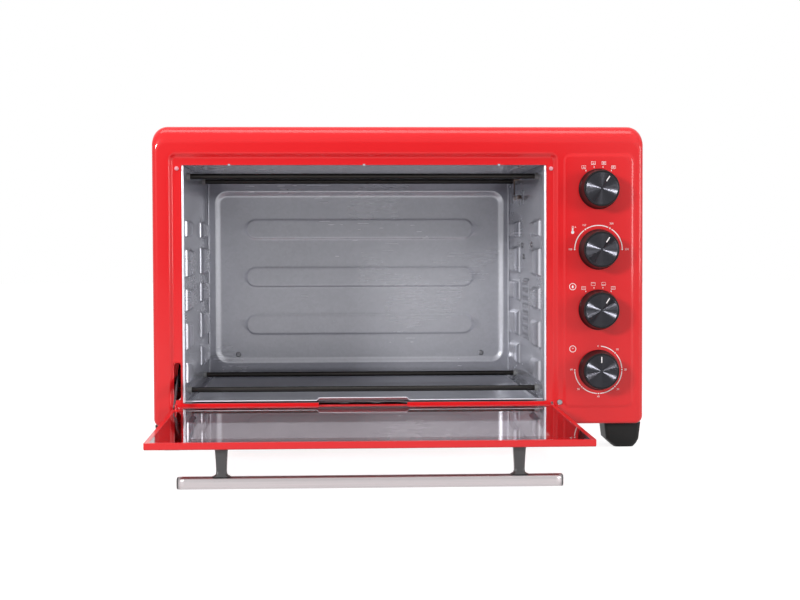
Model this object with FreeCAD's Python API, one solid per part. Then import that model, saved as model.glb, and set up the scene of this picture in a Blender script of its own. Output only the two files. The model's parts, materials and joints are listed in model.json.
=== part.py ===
import FreeCAD, Part
import math
import os

# Countertop oven, drawn with the door open. Millimetres, +Z up, the front faces -Y.
# While drawing, X = 0 is the middle of the body, Y = 0 the flat face of the front panel
# and Z = 0 the table. save() moves the whole model so that its box is centred in Y.

V = FreeCAD.Vector

# Body
half_width = 290.0
body_low = 30.0
body_high = 383.0
sheet = 0.9
top_bevel = 20.5
top_bevel_depth = 14.0
side_bevel = 6.3
low_bevel = 3.0
skirt_depth = 20.0
shell_back = 385.0
cover_face = 395.0
case_screw_places = (
    (-280, 60), (-280, 206), (-280, 352), (280, 60), (280, 206), (280, 352), (-150, 374), (150, 374),
)

# Recess of the door and opening of the oven
recess_floor = 3.8
recess = (-266.25, 183.25, 39.0, 346.9)
opening = (-255.5, 173.2, 57.0, 337.4)
notch = (-100.0, 12.8, 53.0)

# Control plateau and knobs
plateau = (195.0, 277.0, 50.0, 349.5)
plateau_height = 1.0
knob_x = 236.0
knob_z = {"function": 308.8, "temperature": 237.3, "heat": 165.8, "timer": 94.3}
knob_base_radius = 24.0
knob_face_radius = 21.0
knob_front = -24.0
shaft_radius = 3.0

# Cavity
left_wall = -254.5
right_wall = 172.0
roof = 338.0
cavity_sheet = 0.8
cavity_depth = 366.0
back_screws = ((-212.5, 90.0), (131.8, 90.8))
wall_screws = ((213.5, 242.9), (117.0, 243.4), (195.6, 227.8))
panel_screw = (190.0, 56.0)
front_rack = (38.0, 105.0)
front_rack_z = ((80.6, 100.2), (120.9, 147.6), (167.3, 188.1), (208.2, 235.9), (256.2, 270.3))
rear_rack = (238.0, 320.0)
rear_rack_z = ((87.0, 108.0), (124.5, 152.5), (172.1, 192.5), (209.0, 238.5), (256.4, 272.6))
rack_reach = 7.0
rack_slopes = (11.0, 3.0)
heaters = {
    "upper_front": (61.0, 327.0),
    "upper_rear": (281.5, 330.4),
    "lower_front": (61.0, 68.1),
    "lower_rear": (281.5, 68.5),
}
heater_radius = 3.25
collar_radius = 4.3

# Door, measured along its length from the hinge axis and up from its middle plane
door_middle = -41.5
door_half_width = 223.75
door_reach = 296.5
door_half = 3.6
hinge = (-1.95, 50.5)
door_droop = 1.1
pin_radius = 2.0

# Handle
bar_x = (-234.0, 150.5)
bar_s = 284.0
bar_n = -38.05
post_x = (-190.0, 107.0)

# Hinge arm
arm_x = (-262.75, -261.25)
arm_pivot = (35.95, 7.62)
arm_slope = 29.8
arm_length = 95.0
tail = (44.4, 104.65)
spring_end = 186.0

# The gland reaches furthest back and the upper edge of the open door furthest forward
gland_back = 398.5
droop = math.radians(door_droop)
door_front = hinge[0] - door_reach * math.cos(droop) - door_half * math.sin(droop)
front_y = -(gland_back + door_front) / 2.0


def box(x0, x1, y0, y1, z0, z1):
    """Block between two corners."""
    return Part.makeBox(x1 - x0, y1 - y0, z1 - z0, V(x0, y0, z0))


def rod(radius, start, end):
    """Round bar from one point to another."""
    axis = V(*end) - V(*start)
    return Part.makeCylinder(radius, axis.Length, V(*start), axis)


def fuse(shapes):
    """All shapes joined into one."""
    shapes = list(shapes)
    whole = shapes[0]
    if len(shapes) > 1:
        whole = whole.fuse(shapes[1:])
    return whole.removeSplitter()


def cut(shape, tools):
    """The shape less all the tools."""
    return shape.cut(fuse(tools))


def rounded(u0, u1, v0, v1, low_radius, high_radius, place):
    """Closed wire of a rectangle with round corners; place turns u and v into a point."""
    corners = (
        (u0, v0, 1, 1, low_radius, 180),
        (u1, v0, -1, 1, low_radius, 270),
        (u1, v1, -1, -1, high_radius, 0),
        (u0, v1, 1, -1, high_radius, 90),
    )
    arcs = []
    for u, v, to_u, to_v, radius, start in corners:
        points = []
        for turn in (start, start + 45, start + 90):
            angle = math.radians(turn)
            u_point = u + to_u * radius + radius * math.cos(angle)
            v_point = v + to_v * radius + radius * math.sin(angle)
            points.append(place(u_point, v_point))
        arcs.append(points)
    edges = []
    for index, points in enumerate(arcs):
        edges.append(Part.Arc(*points).toShape())
        following = arcs[(index + 1) % 4][0]
        if points[2].distanceToPoint(following) > 1e-6:
            edges.append(Part.makeLine(points[2], following))
    return Part.Wire(edges)


def upright(x0, x1, z0, z1, low_radius, high_radius, y):
    """Rounded outline that faces the front at depth y."""
    return rounded(x0, x1, z0, z1, low_radius, high_radius, lambda u, v: V(u, y, v))


def level(x0, x1, y0, y1, radius, z):
    """Rounded outline that lies flat at height z."""
    return rounded(x0, x1, y0, y1, radius, radius, lambda u, v: V(u, v, z))


def loft(wires):
    """Solid with straight sides from outline to outline."""
    return Part.makeLoft(wires, True, True)


def slab(x0, x1, z0, z1, low_radius, high_radius, y0, y1):
    """Rounded plate between two depths."""
    face = Part.Face(upright(x0, x1, z0, z1, low_radius, high_radius, y0))
    return face.extrude(V(0, y1 - y0, 0))


def frustum(limits, radius, y0, y1, grow):
    """Rounded plate whose outline grows by a given amount from y0 to y1."""
    x0, x1, z0, z1 = limits
    far = radius + grow
    return loft([
        upright(x0, x1, z0, z1, radius, radius, y0),
        upright(x0 - grow, x1 + grow, z0 - grow, z1 + grow, far, far, y1),
    ])


def turned(points, axis_x, axis_z):
    """Solid turned about a line along Y from (radius, y) points."""
    wire = Part.makePolygon([V(axis_x + r, y, axis_z) for r, y in points + points[:1]])
    return Part.Face(wire).revolve(V(axis_x, 0, axis_z), V(0, 1, 0), 360)


def turned_x(points, axis_y, axis_z):
    """Solid turned about a line along X from (radius, x) points."""
    wire = Part.makePolygon([V(x, axis_y + r, axis_z) for r, x in points + points[:1]])
    return Part.Face(wire).revolve(V(0, axis_y, axis_z), V(1, 0, 0), 360)


def plate_x(outline, x0, x1):
    """Plate between two X positions from (y, z) points."""
    wire = Part.makePolygon([V(x0, y, z) for y, z in outline + outline[:1]])
    return Part.Face(wire).extrude(V(x1 - x0, 0, 0))


def save(name, solids):
    """Write one node, moved to its final place."""
    shape = solids
    if isinstance(solids, (list, tuple)):
        shape = Part.makeCompound(list(solids))
    moved = shape.copy()
    moved.translate(V(0, front_y, 0))
    if not moved.isValid():
        print("not valid:", name)
    print(name, len(moved.Solids), round(moved.Volume / 1000, 2))
    moved.exportStep("parts/" + name + ".step")


def share(y, depth):
    """How far a quarter ellipse has risen at a depth, from 0 to 1."""
    left = max(0.0, 1.0 - y / depth)
    return math.sqrt(1.0 - left * left)


def body_outline(y, gap, at):
    """Outline of the body at depth y, drawn in by the gap and placed at another depth."""
    top = share(y, top_bevel_depth)
    side = share(y, side_bevel)
    low = share(y, low_bevel)
    half = half_width - side_bevel * (1 - side) - gap
    z0 = body_low + low_bevel * (1 - low) + gap
    z1 = body_high - top_bevel * (1 - top) - gap
    return upright(-half, half, z0, z1, 5 + 4 * side - gap, 11 + 7 * side - gap, at)


def front_panel():
    """Pressed front: bevels, skirt, door recess, raised plateau, opening and slots."""
    steps = (0.0, 0.35, 1.2, 2.6, 4.4, 6.3, 9.0, 14.0)
    outer = loft([body_outline(y, 0, y) for y in steps] + [body_outline(20, 0, skirt_depth)])
    inner = loft([body_outline(y, sheet, y + sheet) for y in steps] + [body_outline(20, sheet, 21)])
    x0, x1, z0, z1 = plateau
    raised = frustum((x0 + 1, x1 - 1, z0 + 1, z1 - 1), 6, -plateau_height, 1, 2)
    raised_in = frustum((x0 + 1.6, x1 - 1.6, z0 + 1.6, z1 - 1.6), 5, sheet - plateau_height, 2, 2)
    dent = frustum(recess, 4, recess_floor, -1.2, 5)
    rx0, rx1, rz0, rz1 = recess
    wide = (rx0 - sheet, rx1 + sheet, rz0 - sheet, rz1 + sheet)
    dent_in = frustum(wide, 4.5, recess_floor + sheet, -0.3, 5)
    panel = outer.fuse(raised).cut(dent).cut(inner.fuse(raised_in).cut(dent_in))
    ox0, ox1, oz0, oz1 = opening
    tools = [box(ox0, ox1, -1, 7, oz0, oz1)]
    nx0, nx1, nz = notch
    finger = [V(nx0, -1, oz0 + 1), V(nx0 + 4, -1, nz), V(nx1 - 4, -1, nz), V(nx1, -1, oz0 + 1)]
    tools.append(Part.Face(Part.makePolygon(finger + finger[:1])).extrude(V(0, 8, 0)))
    tools.append(slab(-265.9, -258.0, 61.4, 105.1, 3.9, 3.9, -1, 7))
    for x in (-265.5, 180.0):
        tools.append(box(x, x + 2.5, -1, 7, 43.5, 56.2))
    for z in knob_z.values():
        tools.append(rod(5.2, (knob_x, -3, z), (knob_x, 4, z)))
    tools.append(rod(1.45, (panel_screw[0], -3, panel_screw[1]), (panel_screw[0], 4, panel_screw[1])))
    return cut(panel, tools)


def outer_shell():
    """Wrap of top and sides with a set-in lip at the front and folded lower edges."""
    t = sheet
    wrap = slab(-half_width, half_width, body_low, body_high, 9, 18, skirt_depth + 0.3, shell_back)
    core = slab(t - half_width, half_width - t, body_low + t, body_high - t, 8.1, 17.1, 19, 387)
    edge = t + 0.2
    lip = slab(edge - half_width, half_width - edge, body_low + edge, body_high - edge, 8, 17, 15.5, 24)
    edge += t
    lip_core = slab(edge - half_width, half_width - edge, body_low + edge, body_high - edge, 7, 16, 15, 25)
    shell = wrap.cut(core).fuse(lip.cut(lip_core).cut(box(-300, 300, 19.4, 30, 20, 400)))
    joggle = slab(t - half_width, half_width - t, body_low + t, body_high - t, 8.1, 17.1, 20.3, 21.2)
    joggle = joggle.cut(lip_core)
    lip_link = lip.cut(lip_core).common(box(-300, 300, 19, 21.3, 20, 400))
    flange = slab(-half_width, half_width, body_low, body_high, 9, 18, shell_back - t, shell_back)
    window = slab(16 - half_width, half_width - 16, body_low + 8, body_high - 16, 5, 8, 380, 390)
    shell = fuse([shell, joggle, lip_link, flange.cut(window)])
    tools = [box(-276, 276, 0, 400, 20, 36)]
    tools += [rod(1.55, (x, 380, z), (x, 390, z)) for x, z in case_screw_places]
    for side in (-1, 1):
        for row in (85, 315):
            for step in range(9):
                y = 215 + 16 * step
                x = side * half_width
                tools.append(box(x - 3, x + 3, y, y + 5, row - 16, row + 16))
    return cut(shell, tools)


def base_pan():
    """Bottom plate with turned-up edges, two stiffening ribs and air slots."""
    plate = box(-280, 280, 24.5, 383.5, 30.95, 31.85)
    walls = box(-275.5, 275.5, 24.5, 383.5, 31, 44).cut(box(-274.6, 274.6, 25.4, 382.6, 30, 45))
    pan = [plate, walls]
    tools = []
    for y in (75, 330):
        rib = slab(-235, 235, 31.85, 34.0, 0.9, 0.9, y, y + 12)
        pan.append(rib)
        tools.append(box(-233, 233, y + 1.2, y + 10.8, 30, 33.0))
    for row in (130, 190, 250):
        for step in range(9):
            x = -210 + 42 * step
            tools.append(box(x, x + 26, row, row + 5, 30, 33))
    for x in (-268.4, 268.4):
        for y in (34, 355):
            tools.append(rod(1.6, (x, y, 30), (x, y, 33)))
    return cut(fuse(pan), tools)


def back_cover():
    """Rear cover with a raised field, louvre slots and the hole of the cord gland."""
    plate = slab(-289, 289, 31, 382, 8, 17, shell_back + 0.1, shell_back + 1.0)
    field = (-235, 235, 75, 345)
    raised = frustum(field, 10, cover_face, shell_back + 0.5, 6)
    hollow = frustum((-233.8, 233.8, 76.2, 343.8), 9, cover_face - sheet, shell_back - 0.5, 6.5)
    cover = plate.fuse(raised).cut(hollow)
    tools = []
    for row in (110, 300):
        for step in range(13):
            x = -198 + 33 * step
            tools.append(box(x - 2.5, x + 2.5, 390, 400, row - 18, row + 18))
    tools.append(rod(8.0, (262, 380, 60), (262, 390, 60)))
    tools += [rod(1.55, (x, 380, z), (x, 390, z)) for x, z in case_screw_places]
    return cut(cover, tools)


def feet():
    """Four block feet with a sunk hole for the screw."""
    blocks = []
    for side in (-1, 1):
        for y in (12.0, 333.0):
            wires = []
            for z, inner, outer, inset in ((30, 0, 0, 0), (10, 2.4, 2.2, 0.8), (4.6, 8, 4.5, 3), (0, 13, 8, 6)):
                near = side * (245.8 + inner)
                far = side * (290.0 - outer)
                x0, x1 = min(near, far), max(near, far)
                wires.append(level(x0, x1, y + inset, y + 44 - inset, 5, z))
            foot = loft(wires)
            x = side * 268.4
            sink = rod(5.0, (x, y + 22, -1), (x, y + 22, 14)).fuse(rod(1.7, (x, y + 22, 10), (x, y + 22, 31)))
            blocks.append(foot.cut(sink))
    return blocks


def screw(head_radius, head, shank_radius, start, end):
    """Screw with a low domed head at its start, pointing to its end."""
    axis = V(*end) - V(*start)
    axis.normalize()
    seat = V(*start) + axis * head
    dome = Part.makeCone(head_radius * 0.72, head_radius, head, V(*start), axis)
    shank = Part.makeCylinder(shank_radius, (V(*end) - seat).Length, seat, axis)
    return dome.fuse(shank)


def foot_screws():
    """One screw in every foot."""
    return [screw(4.0, 3.0, 1.55, (side * 268.4, y + 22, 11.0), (side * 268.4, y + 22, 38.0))
            for side in (-1, 1) for y in (12.0, 333.0)]


def case_screws():
    """Screws that hold the rear cover to the shell."""
    y = shell_back
    return [screw(3.6, 1.8, 1.5, (x, y + 2.85, z), (x, y - 6, z)) for x, z in case_screw_places]


def pad(wall, inward, reach, y0, y1, z0, z1):
    """Solid form of one drawn rack support: long slopes fore and aft, short ones above and below."""
    run, rise = rack_slopes
    foot = [(wall - inward * 0.4, y0, y1, z0 - rise, z1 + rise), (wall + inward * reach, y0 + run, y1 - run, z0, z1)]
    wires = []
    for x, a0, a1, b0, b1 in foot:
        wires.append(rounded(a0, a1, b0, b1, 2.5, 2.5, lambda u, v, at=x: V(at, u, v)))
    return loft(wires)


def racks(wall, inward):
    """The ten rack supports of one wall, and the hollows behind them."""
    pads = []
    hollows = []
    t = cavity_sheet
    for column, heights in ((front_rack, front_rack_z), (rear_rack, rear_rack_z)):
        y0, y1 = column
        for z0, z1 in heights:
            pads.append(pad(wall, inward, rack_reach, y0, y1, z0, z1))
            hollow = pad(wall, inward, rack_reach, y0 + t, y1 - t, z0 + t, z1 - t)
            hollow.translate(V(-inward * t, 0, 0))
            hollows.append(hollow)
    return pads, hollows


def wall_holes(x):
    """Holes for the ends of the four heaters."""
    return [rod(collar_radius + 0.05, (x - 3, y, z), (x + 3, y, z)) for y, z in heaters.values()]


def cavity_left_wall():
    """Left side wall with its front hem."""
    t = cavity_sheet
    wall = box(left_wall - t, left_wall, 4.9, cavity_depth - 0.1, 57.3, roof - 0.1)
    edge = box(left_wall - t, left_wall, recess_floor, 5.0, 57.3, 337.3)
    hem = box(left_wall - 1.5, left_wall + 1.3, recess_floor - 1.0, recess_floor - 0.05, 60.6, 337.3)
    curl = box(left_wall - 0.2, left_wall + 1.3, recess_floor - 1.0, recess_floor + 1.2, 60.6, 337.3)
    pads, hollows = racks(left_wall, 1)
    return cut(fuse([wall, edge, hem, curl] + pads), hollows + wall_holes(left_wall))


def cavity_right_wall():
    """Right side wall with its front hem, the perforated field and the bulb hole."""
    t = cavity_sheet
    wall = box(right_wall, right_wall + t, 4.9, cavity_depth - 0.1, 57.3, roof - 0.1)
    edge = box(right_wall, right_wall + t, recess_floor, 5.0, 57.3, 337.3)
    hem = box(right_wall - 1.5, right_wall + 1.8, recess_floor - 1.0, recess_floor - 0.05, 60.6, 337.3)
    curl = box(right_wall - 1.5, right_wall + 0.2, recess_floor - 1.0, recess_floor + 1.2, 60.6, 337.3)
    pads, hollows = racks(right_wall, -1)
    holes = []
    for row in range(8):
        for column in range(6):
            y = 151 + 9.8 * column
            z = 126 + 9.8 * row
            points = []
            for corner in range(6):
                turn = math.radians(60 * corner)
                points.append((y + 2.9 * math.cos(turn), z + 2.9 * math.sin(turn)))
            holes.append(plate_x(points, right_wall - 1, right_wall + 2))
    holes.append(rod(2.0, (right_wall - 2, 249, 331), (right_wall + 2, 249, 331)))
    holes += [rod(1.45, (right_wall - 2, y, z), (right_wall + 2, y, z)) for y, z in wall_screws]
    wall = cut(fuse([wall, edge, hem, curl] + pads), hollows + wall_holes(right_wall))
    return wall.cut(Part.makeCompound(holes))


def cavity_roof():
    """Roof of the oven with two pressed grooves, side flanges and three front tabs."""
    t = cavity_sheet
    x0, x1 = left_wall - t, right_wall + t
    plate = box(x0 - t - 0.1, x1 + t + 0.1, 5.2, cavity_depth + 1, roof, roof + t)
    parts = [plate]
    for x in (x0 - t - 0.1, x1 + 0.1):
        parts.append(box(x, x + t, 5.2, cavity_depth - 1, roof, roof + 10))
    for x in (-199.9, -41.5, 118.2):
        parts.append(box(x - 1.4, x + 1.4, 3.0, 9, 336.6, 337.3))
        parts.append(box(x - 1.4, x + 1.4, 3.0, 3.7, 336.6, 338.6))
        parts.append(box(x - 1.4, x + 1.4, 5.2, 9, 336.6, roof + 0.2))
    roof_plate = fuse(parts)
    for x, y0, y1 in ((-234, 14, 93), (147, 20, 110)):
        roof_plate = roof_plate.fuse(box(x - 3, x + 3, y0, y1, roof - 1.6, roof + 0.1))
        roof_plate = roof_plate.cut(box(x - 2.2, x + 2.2, y0 + 0.8, y1 - 0.8, roof - 0.8, roof + 2))
    return roof_plate


def cavity_floor():
    """Plate under the crumb tray with its side flanges."""
    t = cavity_sheet
    x0, x1 = left_wall - t, right_wall + t
    parts = [box(x0 - t - 0.1, x1 + t + 0.1, 5.2, cavity_depth + 1, 56.3, 57.1)]
    for x in (x0 - t - 0.1, x1 + 0.1):
        parts.append(box(x, x + t, 8.0, cavity_depth - 1, 50.0, 56.5))
    floor = fuse(parts)
    nx0, nx1, _ = notch
    return floor.cut(box(nx0 + 4, nx1 - 4, 4, 16, 55, 58))


def cavity_back():
    """Drawn rear wall: round corners, a raised ring and three raised long fields."""
    t = cavity_sheet
    x0, x1 = left_wall + 0.1, right_wall - 0.1
    y = cavity_depth
    pan = slab(x0, x1, 61.0, roof - 0.1, 12, 12, y - 16, y + t)
    pan = pan.cut(slab(x0 + t, x1 - t, 61.0 + t, roof - 0.1 - t, 11.2, 11.2, y - 17, y))
    low = box(x0, x1, y, y + t, 57.2, 75)
    field = (-243.3, 165.5, 75.6, 322.4)
    fx0, fx1, fz0, fz1 = field
    ring = frustum((fx0 + 2, fx1 - 2, fz0 + 2, fz1 - 2), 11, y - 2.5, y + 0.4, 2)
    ring_in = frustum((fx0 + 7, fx1 - 7, fz0 + 7, fz1 - 7), 6, y + 0.5, y - 3, 2)
    back = [pan, low, ring.cut(ring_in)]
    hollow = [frustum((fx0 + 2.9, fx1 - 2.9, fz0 + 2.9, fz1 - 2.9), 10, y - 1.7, y + 1, 2)
              .cut(frustum((fx0 + 6.2, fx1 - 6.2, fz0 + 6.2, fz1 - 6.2), 7, y + 1.2, y - 2.4, 2))]
    for z in (267.0, 199.5, 132.3):
        back.append(frustum((-198.8, 118.1, z - 11.7, z + 11.7), 11.6, y - 2.8, y + 0.2, 2.5))
        hollow.append(frustum((-198.2, 117.5, z - 11.1, z + 11.1), 11, y - 2.0, y + 1, 2.5))
    hollow += [rod(1.45, (x, y - 4, z), (x, y + 4, z)) for x, z in back_screws]
    return cut(fuse(back), hollow)


def cavity_screws():
    """Screws in the rear wall, in the right wall and on the front panel."""
    y = cavity_depth
    screws = [screw(3.6, 1.6, 1.4, (x, y - 1.65, z), (x, y + 5, z)) for x, z in back_screws]
    wall = right_wall
    screws += [screw(3.4, 1.6, 1.4, (wall - 1.65, a, z), (wall + 5, a, z)) for a, z in wall_screws]
    x, z = panel_screw
    screws.append(screw(3.3, 1.5, 1.4, (x, -1.55, z), (x, 5.0, z)))
    return screws


def heater(name):
    """Sheathed heater along X between its two ceramic ends."""
    y, z = heaters[name]
    return rod(heater_radius, (left_wall + 4, y, z), (right_wall - 4, y, z))


def heater_ends():
    """Ceramic ends that hold the heaters in the side walls, with their terminals."""
    ends = []
    for y, z in heaters.values():
        for wall, out in ((left_wall, -1), (right_wall, 1)):
            collar = rod(collar_radius, (wall - out * 4, y, z), (wall + out * 6, y, z))
            x0, x1 = sorted((wall + out * 5.9, wall + out * 14))
            ends.append(collar.fuse(box(x0, x1, y - 2.5, y + 2.5, z - 0.4, z + 0.4)))
    return ends


def crumb_tray():
    """Shallow tray with turned-up edges and a front strip with a raised grip."""
    x0, x1 = -246.0, 164.0
    y0, y1 = 2.8, 346.0
    floor = box(x0, x1, y0 + 6, y1, 57.5, 58.2)
    parts = [floor]
    for x in (x0, x1 - 0.7):
        parts.append(box(x, x + 0.7, y0 + 6, y1, 57.5, 60.2))
    parts.append(box(x0, x1, y1 - 0.7, y1, 57.5, 60.2))
    parts.append(box(x0, x1, y0 + 6, y0 + 6.8, 57.5, 60.3))
    parts.append(box(x0, x1, y0, y0 + 6.8, 59.6, 60.3))
    parts.append(box(-253.1, 170.4, y0, y0 + 0.8, 59.3, 60.3))
    grip = [V(-98.6, y0, 60.2), V(11.4, y0, 60.2), V(8.2, y0, 63.4), V(-95.4, y0, 63.4)]
    parts.append(Part.Face(Part.makePolygon(grip + grip[:1])).extrude(V(0, 0.8, 0)))
    parts.append(box(-95.4, 8.2, y0, y0 + 3.0, 62.7, 63.4))
    return fuse(parts)


def thermostat_bulb():
    """Bulb under the roof on the right and its capillary, which leaves through the wall."""
    bulb = rod(2.6, (165.5, 190, 306), (165.5, 250, 306))
    riser = rod(0.9, (165.5, 248.5, 306), (165.5, 248.5, 331.8))
    outlet = rod(0.9, (164.7, 249, 331), (205.0, 249, 331))
    run = rod(0.9, (204.5, 249, 331.4), (228.0, 65.5, knob_z["temperature"] + 28))
    return fuse([bulb, riser, outlet, run])


def bulb_clips():
    """Two bent clips that hold the bulb off the wall."""
    clips = []
    for y in (201.0, 236.0):
        foot = box(171.2, 171.95, y - 4, y + 4, 297.0, 314.0)
        arm = box(162.2, 171.5, y - 4, y + 4, 309.0, 309.8)
        hook = box(162.2, 162.8, y - 4, y + 4, 302.0, 309.5)
        clips.append(fuse([foot, arm, hook]))
    return clips


def fan_duct():
    """Open-sided housing of the convection fan on the outside of the right wall."""
    t = cavity_sheet
    x0, x1 = right_wall + t + 0.05, 204.0
    outer = box(x0, x1, 122, 228, 107, 213)
    duct = outer.cut(box(x0 - 1, x1 - t, 122 + t, 228 - t, 107 + t, 213 - t))
    flange = box(x0, x0 + t, 112, 238, 97, 223).cut(box(x0 - 1, x0 + 2, 122.5, 227.5, 107.5, 212.5))
    duct = fuse([duct, flange])
    return duct.cut(rod(6.0, (200, 175, 160), (208, 175, 160)))


def fan_motor():
    """Motor of the fan: laminated stack, end bells and the bearing of the shaft."""
    stack = box(216.0, 232.0, 147, 203, 130, 190)
    coil = rod(17.0, (210.0, 175, 160), (240.0, 175, 160))
    motor = fuse([stack, coil, rod(5.4, (204.1, 175, 160), (212, 175, 160))])
    legs = [box(204.1, 217, y, y + 6, 133, 136) for y in (148, 196)]
    legs += [box(204.1, 217, y, y + 6, 184, 187) for y in (148, 196)]
    return fuse([motor] + legs).cut(rod(2.05, (200, 175, 160), (236.0, 175, 160)))


def fan_wheel():
    """Fan wheel with eight bent blades and its shaft."""
    disc = rod(40.0, (196.0, 175, 160), (197.0, 175, 160))
    hub = rod(6.0, (186.0, 175, 160), (198.0, 175, 160))
    shaft = rod(2.0, (184.0, 175, 160), (235.0, 175, 160))
    parts = [disc, hub, shaft]
    for step in range(8):
        blade = box(180.0, 196.5, 175 + 12, 175 + 39, 159.5, 160.5)
        blade.rotate(V(0, 187, 160), V(1, 0, 0), 25)
        blade.rotate(V(0, 175, 160), V(1, 0, 0), 45 * step + 7)
        parts.append(blade)
    return fuse(parts)


def knob(z):
    """Hollow knob with a sloping side, a rounded rim and a seat for the spun cap."""
    base, face, front = knob_base_radius, knob_face_radius, knob_front
    profile = [(0, front + 0.7), (19.6, front + 0.7), (19.8, front), (face - 0.6, front)]
    profile += [(face - 0.1, front + 0.5), (face + 0.3, front + 1.6), (base - 0.6, -4.6)]
    profile += [(base, -3.6), (base, -1.8), (base - 2, -1.8), (face - 1.8, front + 4)]
    profile += [(6.0, front + 4), (5.6, -6.0), (shaft_radius + 0.02, -6.0), (shaft_radius + 0.02, -19.0), (0, -19.0)]
    return turned(profile, knob_x, z)


def knob_cap(z):
    """Spun disc pressed into the face of a knob."""
    front = knob_front
    profile = [(0, front + 0.1), (18.6, front + 0.1), (19.4, front + 0.35), (19.4, front + 0.68), (0, front + 0.68)]
    return turned(profile, knob_x, z)


def knob_shaft(z):
    """Shaft from the knob into its switch, with the flat that drives the knob."""
    shaft = rod(shaft_radius, (knob_x, -18.9, z), (knob_x, 19.5, z))
    return shaft.cut(box(knob_x + 2.2, knob_x + 4, -20, -7, z - 4, z + 4))


def control_bracket():
    """Channel behind the panel that carries the four controls."""
    web = box(199.0, 279.0, 11.0, 12.0, 46, 356)
    flanges = [box(199.0, 200.0, 1.0, 12.0, 46, 356), box(278.0, 279.0, 1.0, 12.0, 46, 356)]
    tools = [rod(5.1, (knob_x, 9, z), (knob_x, 14, z)) for z in knob_z.values()]
    for z in (130.0, 201.5, 273.0):
        tools.append(slab(knob_x - 15, knob_x + 15, z - 4, z + 4, 3.9, 3.9, 9, 14))
    return cut(fuse([web] + flanges), tools)


def bore(z):
    """Running fit of a shaft in its control."""
    return rod(shaft_radius + 0.05, (knob_x, 0, z), (knob_x, 20.0, z))


def nose(z):
    """Threaded nose and nut that fix a control to its bracket."""
    return [rod(5.0, (knob_x, 4.0, z), (knob_x, 13.0, z)), box(knob_x - 7, knob_x + 7, 7.6, 10.9, z - 7, z + 7)]


def rotary_switch(z):
    """Box switch with contact blades at its back."""
    parts = nose(z) + [box(knob_x - 18, knob_x + 18, 12.1, 36, z - 19, z + 19)]
    for dx in (-12, 0, 12):
        for dz in (-12, 12):
            parts.append(box(knob_x + dx - 3, knob_x + dx + 3, 35, 44, z + dz - 0.4, z + dz + 0.4))
    return fuse(parts).cut(bore(z))


def thermostat():
    """Thermostat with a mounting plate, a round body and the port of the capillary."""
    z = knob_z["temperature"]
    parts = nose(z) + [box(knob_x - 22, knob_x + 22, 12.1, 14, z - 14, z + 14)]
    parts.append(rod(16.0, (knob_x, 14, z), (knob_x, 34, z)))
    parts.append(box(knob_x - 9, knob_x + 9, 33, 46, z - 12, z + 12))
    parts.append(box(knob_x - 11, knob_x - 5, 45, 64, z + 24, z + 32))
    parts.append(box(knob_x - 11, knob_x - 5, 38, 46, z + 8, z + 32))
    return fuse(parts).cut(bore(z))


def timer_unit():
    """Clockwork timer with its bell."""
    z = knob_z["timer"]
    parts = nose(z) + [box(knob_x - 26, knob_x + 26, 12.1, 38, z - 25, z + 25)]
    parts.append(rod(3.0, (knob_x, 37, z), (knob_x, 44, z)))
    bell = turned([(3.2, 47.0), (16, 46.0), (21, 42.0), (22, 39.0), (21, 39.0), (20, 41.5), (15.6, 45.0), (3.2, 46.0),
                   (0, 46.0), (0, 47.0)], knob_x, z)
    parts += [bell, rod(3.0, (knob_x, 43, z), (knob_x, 46.5, z))]
    return fuse(parts).cut(bore(z))


def door_box(x0, x1, s0, s1, n0, n1):
    """Block in door measures: width, distance from the hinge, height over the middle plane."""
    return box(x0, x1, hinge[0] - s1, hinge[0] - s0, hinge[1] + n0, hinge[1] + n1)


def hang(shape):
    """Turn a door piece, drawn level, to its rest pose on the hinge stop."""
    shape = shape.copy()
    shape.rotate(V(0, hinge[0], hinge[1]), V(1, 0, 0), door_droop)
    return shape


def door_plate(x0, x1, s0, s1, radius, n0, n1):
    """Rounded plate in door measures."""
    z = hinge[1] + n0
    face = Part.Face(level(x0, x1, hinge[0] - s1, hinge[0] - s0, radius, z))
    return face.extrude(V(0, 0, n1 - n0))


def door_frame():
    """Steel door: skin with the window opening, folded edges, inner lip and rolled lower edge."""
    x0, x1 = door_middle - door_half_width, door_middle + door_half_width
    t = 1.0
    h = door_half
    block = door_box(x0, x1, 5.2, door_reach, -h, h)
    edges = []
    for edge in block.Edges:
        middle = edge.BoundBox.Center
        outer = middle.z < hinge[1] - 3 and edge.BoundBox.YLength + edge.BoundBox.XLength > 50
        if outer and middle.y < hinge[0] - 20:
            edges.append(edge)
    block = block.makeFillet(1.6, edges)
    neck = door_box(x0 + 3.2, x1 - 3.2, 0, 6, -h, h)
    roll = rod(h, (x0 + 3.2, hinge[0], hinge[1]), (x1 - 3.2, hinge[0], hinge[1]))
    door = fuse([block, neck, roll])
    tools = [
        door_box(x0 + t, x1 - t, 8.0, door_reach - t, t - h, h - 0.8),
        door_plate(x0 + 4.8, x1 - 4.8, 9.5, door_reach - 4.8, 3, h - 1.5, h + 1),
        door_plate(x0 + 38, x1 - 38, 48, 252, 12, -h - 1, t + 0.5 - h),
    ]
    tools += [door_box(x - 1.7, x + 1.7, bar_s - 2.4 - 1.7, bar_s - 2.4 + 1.7, -h - 1, t + 0.5 - h) for x in post_x]
    tools += [rod(pin_radius, (x0, hinge[0], hinge[1]), (x0 + 20, hinge[0], hinge[1]))]
    tools += [rod(pin_radius, (x1 - 20, hinge[0], hinge[1]), (x1, hinge[0], hinge[1]))]
    door = cut(door, tools)
    tab = door_box(x0 + 0.5, -254.0, 27, 45, h - 0.8, h)
    return hang(fuse([door, tab]))


def door_glass():
    """Tempered pane held under the inner lip."""
    x0, x1 = door_middle - door_half_width, door_middle + door_half_width
    return hang(door_plate(x0 + 1.2, x1 - 1.2, 8.3, door_reach - 1.3, 2, -1.0, 2.77))


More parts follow.
